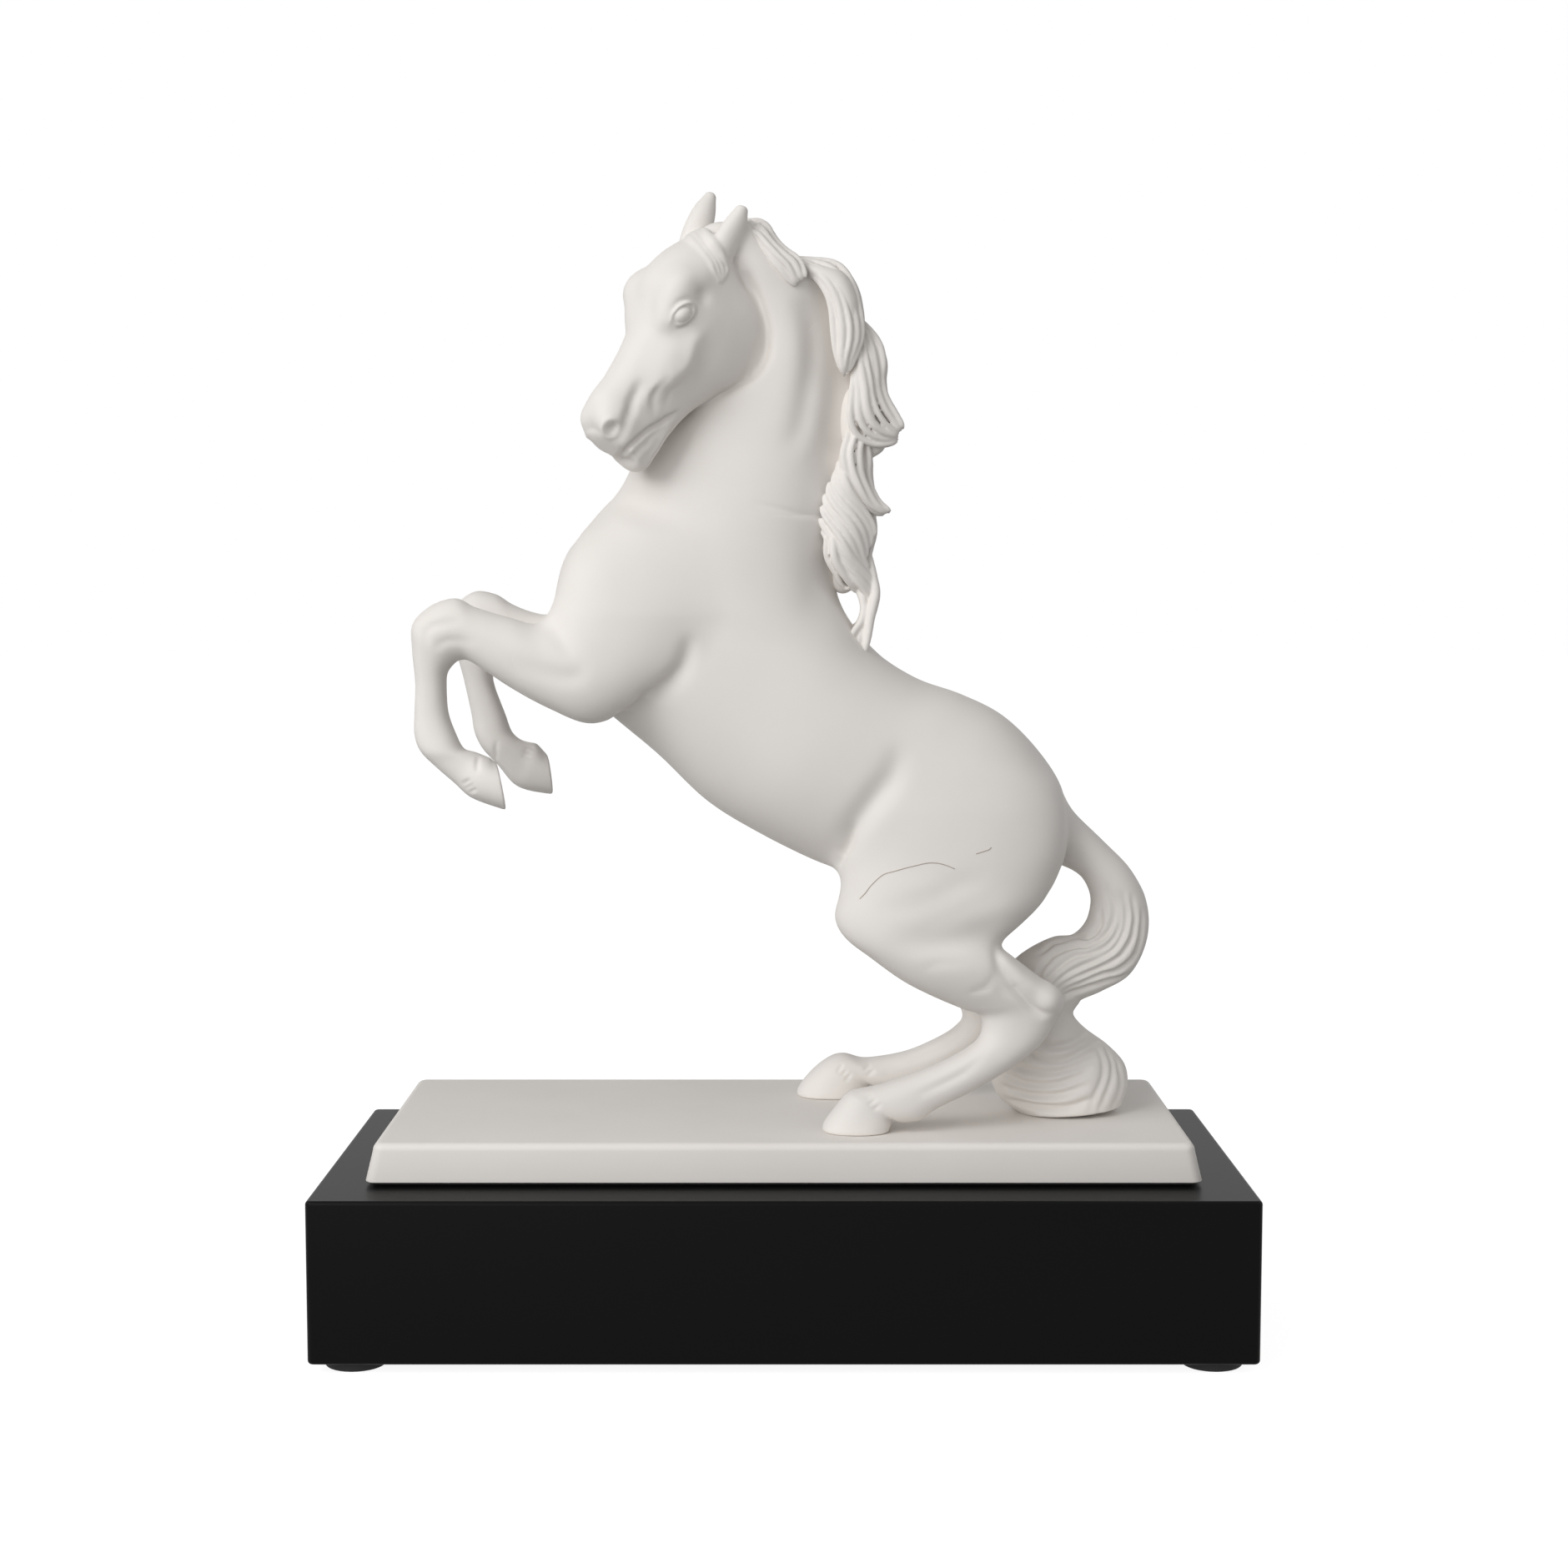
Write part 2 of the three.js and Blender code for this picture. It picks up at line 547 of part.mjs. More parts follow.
const ground = box(BASE_LENGTH, BASE_DEPTH, -SLAB_HEIGHT, LUTE_SEAM, 0, 0);
const castings = {
  trunk_casting: trunk.plain.subtract(trunkHollow).subtract(passage).subtract(vent),
  neck_casting: trimmed(neck, [trunk, head, forelock]).subtract(neckHollow).subtract(passage),
  forelock: forelock.plain,
  head_casting: trimmed(head, [forelock]),
  left_ear: trimmed(leftEar, [head, neck, forelock]),
  right_ear: trimmed(rightEar, [head, neck, forelock]),
  mane_poll_lock: trimmed(manePoll, [neck, head, leftEar, rightEar, forelock]),
  mane_upper_lock: trimmed(maneUpper, [neck, manePoll]),
  mane_middle_lock: trimmed(maneMiddle, [neck, maneUpper]),
  mane_lower_lock: trimmed(maneLower, [neck, trunk, maneMiddle]),
  left_foreleg: trimmed(leftForeleg, [trunk, neck]),
  right_foreleg: trimmed(rightForeleg, [trunk, neck]),
  left_hind_leg: trimmed(leftHindLeg, [trunk]).subtract(ground),
  right_hind_leg: trimmed(rightHindLeg, [trunk]).subtract(ground),
  tail_dock: trimmed(tailDock, [trunk, leftHindLeg, rightHindLeg]),
  tail_curl: trimmed(tailCurl, [tailDock, leftHindLeg, rightHindLeg]).subtract(ground),
};
for (const [name, body] of Object.entries(castings)) place(name, body, PORCELAIN, figure);

// Slab: a shallow tray upside down, with a boss round each insert
const slabBlock = stacked(SLAB_LENGTH, SLAB_DEPTH, SLAB_CORNER + SLAB_EDGE, [
  [SLAB_BOTTOM, 0],
  ...roundedEdge(SLAB_TOP - SLAB_EDGE, SLAB_DRAFT, SLAB_EDGE),
]).translate([0, SLAB_Y, 0]);
const boltPlaces = [["left", -BOLT_X], ["right", BOLT_X]];
const insertBottom = SLAB_BOTTOM + GLUE_LINE;
const insertTop = insertBottom + INSERT_LENGTH;
let slabTray = slabBlock.subtract(
  box(SLAB_LENGTH - 2 * SLAB_WALL, SLAB_DEPTH - 2 * SLAB_WALL, SLAB_BOTTOM - CUT_PAST, SLAB_TOP - SLAB_CEILING, 0, SLAB_Y),
);
for (const [, x] of boltPlaces) {
  const boss = rod(BOSS_DIAMETER, SLAB_BOTTOM, SLAB_TOP - SLAB_CEILING / 2, x, SLAB_Y);
  const socket = rod(INSERT_DIAMETER + 2 * GLUE_LINE, SLAB_BOTTOM - CUT_PAST, insertTop + GLUE_LINE, x, SLAB_Y);
  slabTray = slabTray.add(boss).subtract(socket);
}
place("porcelain_slab", slabTray, PORCELAIN);

let felt = stacked(SLAB_LENGTH - 2 * FELT_MARGIN, SLAB_DEPTH - 2 * FELT_MARGIN, SLAB_CORNER, [
  [FELT_BOTTOM, 0],
  [FELT_BOTTOM + FELT, 0],
]).translate([0, SLAB_Y, 0]);

// Base: a box of boards, its outer edges eased before lacquering
let topBoard = stacked(BASE_LENGTH, BASE_DEPTH, BASE_CORNER, [
  [BASE_TOP - TOP_BOARD, 0],
  ...roundedEdge(BASE_TOP - BASE_EDGE, 0, BASE_EDGE),
]);
let bottomBoard = stacked(BASE_LENGTH, BASE_DEPTH, BASE_CORNER, [
  ...roundedEdge(BASE_BOTTOM + BASE_EDGE, 0, -BASE_EDGE).map(([z, inset]) => [z, -inset]).reverse(),
  [BASE_BOTTOM + BOTTOM_BOARD, 0],
]);

const boltClearance = BOLT_SHANK + 2 * BOLT_CLEARANCE;
const washerTop = RAIL_TOP;
const washerBottom = washerTop - WASHER;
const boltTop = insertTop - GLUE_LINE;
for (const [side, x] of boltPlaces) {
  const way = rod(boltClearance, washerBottom - CUT_PAST, SLAB_TOP, x, SLAB_Y);
  topBoard = topBoard.subtract(way);
  felt = felt.subtract(rod(INSERT_DIAMETER, FELT_BOTTOM - CUT_PAST, SLAB_BOTTOM, x, SLAB_Y));
  const insert = rod(INSERT_DIAMETER, insertBottom, insertTop, x, SLAB_Y).subtract(way);
  const washer = rod(WASHER_DIAMETER, washerBottom, washerTop, x, SLAB_Y).subtract(way);
  const headTop = washerBottom - GLUE_LINE;
  const headBottom = headTop - BOLT_HEAD_HEIGHT;
  const bolt = turned(
    [
      [0, headBottom],
      [BOLT_HEAD_CROWN / 2, headBottom],
      [BOLT_HEAD / 2, headBottom + BOLT_HEAD_HEIGHT / 2],
      [BOLT_HEAD / 2, headTop],
      [BOLT_SHANK / 2, headTop],
      [BOLT_SHANK / 2, boltTop],
      [0, boltTop],
    ],
    x,
    SLAB_Y,
  );
  place(`slab_insert_${side}`, insert, BRASS);
  place(`slab_washer_${side}`, washer, STEEL);
  place(`slab_bolt_${side}`, bolt, STEEL);
}
place("bedding_felt", felt, FELT_CLOTH);
place("base_top_board", topBoard, LACQUER);

const endDepth = BASE_DEPTH - 2 * RAIL - 2 * GLUE_LINE;
const railY = (BASE_DEPTH - RAIL) / 2;
const endX = (BASE_LENGTH - RAIL) / 2;
const rails = {
  front: box(BASE_LENGTH, RAIL, RAIL_BOTTOM, RAIL_TOP, 0, -railY),
  back: box(BASE_LENGTH, RAIL, RAIL_BOTTOM, RAIL_TOP, 0, railY),
};
place("base_left_end", box(RAIL, endDepth, RAIL_BOTTOM, RAIL_TOP, -endX, 0), LACQUER);
place("base_right_end", box(RAIL, endDepth, RAIL_BOTTOM, RAIL_TOP, endX, 0), LACQUER);

// Screws driven up through the bottom board into the long rails
const screwRadius = SCREW_SHANK / 2;
const headRadius = SCREW_HEAD / 2;
const sink = headRadius - screwRadius;
function screwForm(x, y, grow) {
  return turned(
    [
      [0, BASE_BOTTOM - grow],
      [headRadius + grow, BASE_BOTTOM - grow],
      [headRadius + grow, BASE_BOTTOM],
      [screwRadius + grow, BASE_BOTTOM + sink],
      [screwRadius + grow, BASE_BOTTOM + SCREW_LENGTH - 2 * screwRadius],
      [0, BASE_BOTTOM + SCREW_LENGTH + grow],
    ],
    x,
    y,
  );
}
let screwNumber = 0;
for (const [side, y] of [["front", -railY], ["back", railY]]) {
  for (const x of [-SCREW_X, 0, SCREW_X]) {
    screwNumber += 1;
    const hole = screwForm(x, y, SCREW_CLEARANCE);
    bottomBoard = bottomBoard.subtract(hole);
    rails[side] = rails[side].subtract(hole);
    place(`bottom_screw_${screwNumber}`, screwForm(x, y, 0), STEEL);
  }
}
place("base_bottom_board", bottomBoard, LACQUER);
for (const [side, body] of Object.entries(rails)) place(`base_${side}_rail`, body, LACQUER);

// Feet
for (const [depthName, sy] of [["front", -1], ["back", 1]]) {
  for (const [sideName, sx] of [["left", -1], ["right", 1]]) {
    const radius = FOOT_DIAMETER / 2;
    const foot = turned(
      [
        [0, 0],
        [radius - FOOT_EDGE, 0],
        [radius, FOOT_EDGE],
        [radius, FOOT_HEIGHT],
        [0, FOOT_HEIGHT],
      ],
      sx * (BASE_LENGTH / 2 - FOOT_INSET),
      sy * (BASE_DEPTH / 2 - FOOT_INSET),
    );
    place(`foot_${depthName}_${sideName}`, foot, RUBBER);
  }
}

export default figurine;
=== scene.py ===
"""Porcelain figurine of a rearing horse on a lacquered wooden base.

The figure is modelled as clay on a grid of distances, from the same sections as its castings, then
worked over with soft presses and scored lines. Slab, base and feet are built from outlines.
Lengths are millimetres until a mesh is made, and heights of the figure count from the slab's top.
"""

import json
import math

import bmesh
import bpy
import numpy as np
import openvdb
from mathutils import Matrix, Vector

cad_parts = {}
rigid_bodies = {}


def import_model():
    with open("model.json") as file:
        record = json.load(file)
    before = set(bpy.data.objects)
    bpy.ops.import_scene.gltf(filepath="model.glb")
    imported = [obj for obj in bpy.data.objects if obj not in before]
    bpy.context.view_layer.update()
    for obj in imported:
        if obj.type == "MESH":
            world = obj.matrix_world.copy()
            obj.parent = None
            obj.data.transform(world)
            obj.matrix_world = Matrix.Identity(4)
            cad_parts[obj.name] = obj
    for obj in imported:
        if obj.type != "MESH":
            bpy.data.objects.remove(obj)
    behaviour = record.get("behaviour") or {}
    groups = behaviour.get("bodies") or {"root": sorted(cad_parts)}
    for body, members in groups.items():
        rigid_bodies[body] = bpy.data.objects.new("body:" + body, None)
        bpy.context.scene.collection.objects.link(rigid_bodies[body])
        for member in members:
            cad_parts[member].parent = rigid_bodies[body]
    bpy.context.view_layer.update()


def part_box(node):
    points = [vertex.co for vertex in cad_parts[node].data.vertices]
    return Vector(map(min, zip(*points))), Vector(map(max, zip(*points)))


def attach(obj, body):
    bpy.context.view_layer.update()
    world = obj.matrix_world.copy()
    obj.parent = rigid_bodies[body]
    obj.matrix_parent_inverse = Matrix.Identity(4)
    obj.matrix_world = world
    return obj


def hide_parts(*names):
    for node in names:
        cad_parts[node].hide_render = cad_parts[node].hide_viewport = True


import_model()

MM = 0.001
SLAB_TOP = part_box("porcelain_slab")[1][2] / MM

# Cells of the clay, fine where the modelling is fine
BODY_CELL = 0.9
NECK_CELL = 0.6
HEAD_CELL = 0.46
LEG_CELL = 0.5
HAIR_CELL = 0.43
# How far from the surface the clay is measured, and the share of that which counts as far off
BODY_BAND = 17.0
HEAD_BAND = 12.0
LEG_BAND = 6.0
HAIR_BAND = 4.0
FAR_SHARE = 0.999

# Fineness of the skins that are turned into clay
LOFT_SIDES = 72
LOFT_STEPS = 8
LINE_STEPS = 3
LEAST_SHARE = 0.3
DOME_ANGLES = np.radians([15, 30, 45, 60, 75, 86])
STRAND_SIDES = 12
STRAND_STEPS = 6
STRAND_POINTS = 48
STRAND_TIP = 0.25
EDGE_POINTS = 60
ARC_POINTS = 13
# How many widths a press or a groove reaches
TOOL_REACH = 2.2

# Where the head sits and how it is carried
POLL = np.array([-24.0, -9.0, 275.0])
HEAD_NOD = 39
HEAD_TURN = 37
HEAD_TILT = 4


def turned(axis, degrees):
    """The matrix that turns by an angle round one of the three axes."""
    c, s = math.cos(math.radians(degrees)), math.sin(math.radians(degrees))
    i, j = [(1, 2), (2, 0), (0, 1)][axis]
    matrix = np.eye(3)
    matrix[i, i] = matrix[j, j] = c
    matrix[i, j], matrix[j, i] = -s, s
    return matrix


HEAD_AXES = turned(2, HEAD_TURN) @ turned(0, HEAD_TILT) @ turned(1, HEAD_NOD)


def face(along, up, left):
    """A place on the head: along the face from the poll, up towards the brow, left of the middle."""
    return POLL + HEAD_AXES @ np.array([-up, -left, -along])


# Sections of the figure, each an ellipse:
# [x, z of one end, x, z of the other end, y of the middle, half width]
TRUNK = [
    [-63.6, 182, -68.7, 158, 0, 15],
    [-57, 189.5, -67.5, 139, 0, 24],
    [-42, 194, -54, 127.3, 0, 27.4],
    [-18, 186, -39.8, 115.4, 0, 28.9],
    [8, 170, -24.3, 100.6, 0, 30],
    [27, 149.5, -8, 90.5, 0, 31.2],
    [42, 139.5, 9, 82, 0, 30.8],
    [56, 134.5, 22, 77, 0, 30.2],
    [69, 128, 36, 70, 0, 30],
    [80, 117.5, 52, 64, 0, 29],
    [87.5, 106, 68, 60, 0, 25],
    [89, 95, 79.5, 69, 0, 18],
]
NECK = [
    [-57.6, 180, 22, 146, 0, 23],
    [-56, 190, 15.6, 160, 0, 23],
    [-52.4, 196.4, 16.6, 176, 0, 20.5],
    [-46, 209, 20, 193, 0, 17.5],
    [-36, 220, 22, 210, 0, 15],
    [-25, 231, 24, 231, 0, 13.5],
    [-15, 242, 20, 250, -1, 12],
    [-15, 253, 14, 264, -2.5, 11.5],
    [-17, 264, 1.5, 271.5, -5, 10.5],
    [-18, 272, -9, 281, -7, 9],
]
# Head, ears and forelock upright, brow towards -x, before the head is turned
HEAD = [
    [-2, 1, 14, -3, 0, 8],
    [-6.2, -6, 25, -9, 0, 12],
    [-8.9, -15, 34, -17, 0, 14],
    [-8.5, -24, 35, -27, 0, 14.6],
    [-3.6, -33, 32, -36, 0, 12.8],
    [-0.8, -43, 28.5, -46, 0, 11],
    [0.5, -54, 27.5, -56, 0, 9.8],
    [0.5, -63, 28, -64, 0, 9],
    [3.4, -68.4, 26.5, -69.8, 0, 8.2],
    [7.4, -70.4, 20.5, -70.8, 0, 6.5],
]
LEFT_EAR = [
    [0.3, -8, 7.5, -5, -7.5, 3.4],
    [-2.6, -2.6, 5.2, 1, -9.5, 3.7],
    [-4.4, 3.5, 2.6, 6.6, -11.6, 3.2],
    [-4.8, 8.2, -0.8, 9.8, -13, 2.2],
]
RIGHT_EAR = [
    [-2.5, -4.3, 6, -1.7, 8, 3.4],
    [-4.7, 2.4, 4.3, 5, 8.2, 3.9],
    [-5.8, 9.3, 1.4, 11.5, 8.4, 3.3],
    [-5.5, 14.6, -1.7, 15.8, 8.4, 2],
]
LEFT_FORELEG = [
    [-52, 184, -31, 171, -12, 8],
    [-63.2, 176, -30, 156.5, -18, 12],
    [-68.3, 163, -34, 142, -21, 13.5],
    [-73, 157.5, -47.2, 131, -23, 13],
    [-77.3, 157, -59, 126.5, -24, 12],
    [-83.5, 159, -72, 131.2, -25, 11],
    [-89, 160.5, -83, 137.2, -25.5, 10],
    [-95, 162.5, -91, 142.5, -26, 9],
    [-100.5, 165, -96.5, 146, -26, 8.6],
    [-107.5, 163, -99.5, 146, -26, 8.6],
    [-113.4, 157.5, -101, 145, -26, 8.2],
    [-113.8, 150, -103, 142.5, -26, 7],
    [-113, 139, -103.5, 138.5, -26, 5.8],
    [-113.4, 129.5, -103, 130, -26, 5.4],
    [-113.4, 123, -101, 124, -26, 6],
    [-111.5, 118, -98.5, 119, -26, 6.8],
    [-106.9, 113.3, -95.5, 118, -26, 6.4],
    [-101.3, 108.4, -94, 117.5, -26, 6.6],
    [-96.3, 104, -90.5, 116, -26, 8],
    [-85.8, 100.1, -88.5, 114.5, -26, 8.6],
    [-83.2, 99.3, -86, 114, -26, 8.6],
]
RIGHT_FORELEG = [
    [-52, 184, -31, 171, 12, 8],
    [-63.2, 176, -31, 156, 18, 12],
    [-68.3, 166, -36, 141, 21, 13],
    [-75, 159, -53.5, 131, 22, 12.5],
    [-82, 160, -68, 130.5, 22.5, 11.5],
    [-88.5, 162.5, -79, 137, 23, 10],
    [-94.5, 166, -88.5, 142, 23, 9],
    [-101, 166.5, -93.5, 144, 23, 8.6],
    [-107, 161.5, -94.5, 142.5, 23, 8.3],
    [-107.5, 151.5, -95, 140.5, 23, 7.2],
    [-104.5, 138.5, -94.5, 136, 23, 5.8],
    [-102, 126.5, -91, 126.5, 23, 5.4],
    [-101, 120.5, -89, 121, 23, 6],
    [-98.5, 115.5, -86.5, 118.5, 23, 6.6],
    [-93.5, 110, -83.5, 117.5, 23, 6.4],
    [-88.5, 104, -81, 117, 23, 6.8],
    [-84.5, 102, -79.5, 115.5, 23, 8],
    [-76, 100.5, -77.5, 113.5, 23, 8.6],
    [-73.6, 100.2, -75.2, 113.2, 23, 8.6],
]
LEFT_HIND_LEG = [
    [39, 114, 80, 102, -14, 9],
    [28.5, 100.5, 84.5, 87, -17, 13],
    [19.8, 86, 83.5, 80.5, -18.5, 15],
    [17.4, 73.5, 80.4, 71.5, -20, 15.5],
    [15.9, 65.5, 74.8, 65, -21, 15],
    [19.2, 59.6, 69, 60, -22.5, 14],
    [26.6, 54, 67.4, 57.4, -24, 13],
    [36.4, 47, 71.3, 54, -25, 11.5],
    [46, 42, 78.3, 48.6, -25, 10],
    [54.7, 38.2, 84.4, 43.9, -24.5, 8.8],
    [60.5, 36, 86.6, 39.6, -24, 8.2],
    [61.5, 32.5, 84.8, 35, -24, 7.8],
    [60.5, 28.5, 80.5, 27.5, -24.5, 7.3],
    [55.5, 24.5, 71.5, 20, -25, 7],
    [45, 19.5, 58, 12, -26, 6.4],
    [35, 16, 47.5, 7, -27, 6.6],
    [28, 14, 42, 3.5, -27.5, 7],
    [23, 13, 36, 3, -27.5, 6.8],
    [20, 12, 33.5, 4.5, -27.5, 7.2],
    [16, 7.5, 33.5, 2.5, -27.5, 8],
    [12, 1.5, 33, 1, -27.5, 8.6],
    [12, 0, 33, 0, -27.5, 8.6],
]
RIGHT_HIND_LEG = [
    [39, 112, 80, 100, 14, 9],
    [27.5, 98, 84.5, 85, 17, 13],
    [25, 83.5, 83.5, 78, 18.5, 15],
    [21.5, 71, 80, 68.5, 20, 15],
    [18.5, 62.5, 74, 61.5, 21, 14.5],
    [19.2, 57, 69, 56, 22, 13.5],
    [25.4, 51.4, 68, 52, 23, 12.5],
    [34.5, 44, 71, 47.5, 23.5, 11],
    [44, 38.5, 76, 42, 24, 9.8],
    [52.5, 33.5, 81.5, 37, 24, 8.8],
    [58, 30, 84.5, 33, 24, 8.2],
    [59, 26.5, 83, 28.5, 24, 7.8],
    [57, 23.5, 77, 21.5, 24, 7.3],
    [52, 20, 67, 14.5, 24, 6.8],
    [41, 15, 52.5, 7.5, 24.5, 6.3],
    [32, 13, 42.5, 3.5, 25, 6.5],
    [25.5, 12.5, 36.5, 2.5, 25, 7],
    [19.5, 14, 31.5, 2.5, 25, 6.8],
    [15.4, 13, 28.5, 4, 25, 7.2],
    [9.2, 8.3, 28, 2.5, 25, 8],
    [4.4, 1.7, 27, 1, 25, 8.6],
    [4.5, 0, 27, 0, 25, 8.6],
]
TAIL_DOCK = [
    [83, 104, 81, 84, 0, 9],
    [89, 100, 88, 80, 0, 8.5],
    [95, 94.2, 91.5, 78.5, 0, 8.5],
    [102.5, 87, 95, 76, 0, 8.5],
    [111, 78, 97.5, 71.5, 0, 9],
    [116.5, 66.5, 98, 67, 0, 9.5],
    [116.5, 55, 96.5, 61.5, 0, 10],
    [111.2, 44.2, 92.5, 57.5, 0, 10.5],
    [101.8, 38.6, 86, 56.5, 0, 11],
    [94.5, 35.5, 78, 52.5, 0, 11.5],
    [88, 29, 70, 46, 0, 10.5],
]
TAIL_CURL = [
    [94.5, 35.5, 77, 50, 0, 11],
    [93, 31.5, 72, 36, 0, 12],
    [96.6, 27.2, 68, 26, 0, 13],
    [104.4, 21.4, 66, 16, 0, 14],
    [109.5, 15.5, 67, 9, 0, 14.5],
    [110.5, 9, 70, 4, 0, 14],
    [108.5, 2.5, 75.5, 0, 0, 13],
]
MANE_LOCKS = [
    [
        [-18, 279.5, -19, 272, -7, 6.5],
        [-10, 282, -13, 273, -9, 7.5],
        [-3.5, 279, -9, 271, -10, 7],
        [1, 272, -4, 266.5, -11, 5],
        [4, 265, 0.5, 263, -12, 3],
    ],
    [
        [1, 272, 1, 263.5, -5, 7],
        [12, 270, 8, 260.5, -7, 8.5],
        [20, 267, 11.5, 257.5, -8, 8.5],
        [24.5, 259.5, 13.5, 252, -9, 8],
        [25.5, 250, 14.5, 245, -10, 7],
        [24.5, 241, 16, 238.5, -11, 5.5],
        [20.5, 235, 17.5, 234.5, -12, 3],
    ],
    [
        [26, 249.5, 20, 241, -4, 7],
        [31, 244, 21, 235.5, -5, 8],
        [32.5, 236.5, 20.5, 230, -6, 8],
        [32.5, 229.5, 19, 223, -6, 7.5],
        [35.5, 222.5, 18.5, 216, -6, 7],
        [36.5, 217, 20, 211, -6, 6],
        [33.5, 212.5, 22, 208.5, -6, 4.5],
    ],
    [
        [29, 213, 16, 208, -5, 7],
        [28.5, 204, 14.5, 200.5, -6, 7.5],
        [30.5, 197, 12.5, 192.5, -6, 7],
        [30.5, 191, 11, 186, -6, 6.5],
        [28.5, 182, 12.5, 178, -5, 6],
        [28.5, 174, 16, 170, -4, 5.5],
        [30.5, 166.5, 22.5, 166.5, -3, 5],
        [29.6, 159.5, 23.5, 160.5, -2, 4.5],
        [27.8, 153, 19, 155.5, -1, 4],
        [25, 147, 16, 149, 0, 4],
    ],
]


def curve(rows, steps):
    """A smooth curve through the given rows, with so many steps from each row to the next."""
    rows = np.asarray(rows, float)
    gaps = np.linalg.norm(np.diff(rows, axis=0), axis=1) ** 0.5
    knots = np.concatenate([[0.0], np.cumsum(gaps)])
    slopes = np.gradient(rows, knots, axis=0)
    t = np.linspace(0, 1, steps, endpoint=False)[:, None]
    leave, arrive = 2 * t**3 - 3 * t**2 + 1, 3 * t**2 - 2 * t**3
    bend, unbend = t**3 - 2 * t**2 + t, t**3 - t**2
    spans = [
        leave * rows[i] + arrive * rows[i + 1] + gap * (bend * slopes[i] + unbend * slopes[i + 1])
        for i, gap in enumerate(gaps)
    ]
    return np.concatenate(spans + [rows[-1:]])


def skin(rings):
    """Points, quads and end fans of a closed skin over rings of points."""
    count, sides = rings.shape[:2]
    here = np.arange(count * sides).reshape(count, sides)
    beside = np.roll(here, -1, axis=1)
    quads = np.stack([here[:-1], beside[:-1], beside[1:], here[1:]], axis=-1).reshape(-1, 4)
    hubs = [np.full(sides, count * sides), np.full(sides, count * sides + 1)]
    fans = np.concatenate([
        np.stack([hubs[0], beside[0], here[0]], axis=-1),
        np.stack([hubs[1], here[-1], beside[-1]], axis=-1),
    ])
    points = np.concatenate([rings.reshape(-1, 3), [rings[0].mean(axis=0), rings[-1].mean(axis=0)]])
    return points, quads, fans


def spine(rows):
    """The middles of sections, and how far each reaches from its middle to its first end."""
    first, last = rows[:, [0, 4, 1]], rows[:, [2, 4, 3]]
    return (first + last) / 2, (first - last) / 2


def capped(rows, cap, end):
    """Rows with those of a dome before the first (0) or after the last (-1)."""
    return np.concatenate([rows, cap] if end else [cap[::-1], rows])


def loft(sections, dome=(0, 0), grow=0.0, square=1.0):
    """A skin over elliptical sections with domed ends; grow widens it, square under 1 is boxier."""
    rows = curve(sections, LOFT_STEPS)
    middle, reach = spine(rows)
    reach *= np.maximum(1 + grow / np.linalg.norm(reach, axis=1, keepdims=True), LEAST_SHARE)
    half = np.maximum(rows[:, 5] + grow, LEAST_SHARE * rows[:, 5])
    rise, shrink = np.sin(DOME_ANGLES)[:, None], np.cos(DOME_ANGLES)[:, None]
    for end, inner, height in ((0, 1, dome[0]), (-1, -2, dome[1])):
        if height:
            out = middle[end] - middle[inner]
            out *= height / np.linalg.norm(out)
            middle = capped(middle, middle[end] + rise * out, end)
            reach = capped(reach, shrink * reach[end], end)
            half = capped(half, shrink[:, 0] * half[end], end)
    turn = np.linspace(0, 2 * np.pi, LOFT_SIDES, endpoint=False)
    across = np.sign(np.cos(turn)) * np.abs(np.cos(turn)) ** square
    aside = np.sign(np.sin(turn)) * np.abs(np.sin(turn)) ** square
    rings = middle[:, None] + reach[:, None] * across[None, :, None]
    rings[..., 1] += half[:, None] * aside
    return skin(rings)


def on_head(form):
    """A skin modelled on the upright head, carried to where the head is."""
    points, quads, fans = form
    return POLL + points @ HEAD_AXES.T, quads, fans


def strand(path, radii):
    """A round strand along a path, with a radius at each of its points."""
    ahead = np.gradient(path, axis=0)
    ahead /= np.linalg.norm(ahead, axis=1, keepdims=True)
    side = np.cross(ahead, [0.0, 1.0, 0.0])
    side /= np.linalg.norm(side, axis=1, keepdims=True)
    other = np.cross(ahead, side)
    turn = np.linspace(0, 2 * np.pi, STRAND_SIDES, endpoint=False)
    swing = np.cos(turn)[None, :, None] * side[:, None] + np.sin(turn)[None, :, None] * other[:, None]
    return skin(path[:, None] + radii[:, None, None] * swing)


def bundle(skins):
    """Several skins as one."""
    start = np.cumsum([0] + [len(points) for points, _, _ in skins[:-1]])
    return (
        np.concatenate([points for points, _, _ in skins]),
        np.concatenate([quads + first for (_, quads, _), first in zip(skins, start)]),
        np.concatenate([fans + first for (_, _, fans), first in zip(skins, start)]),
    )


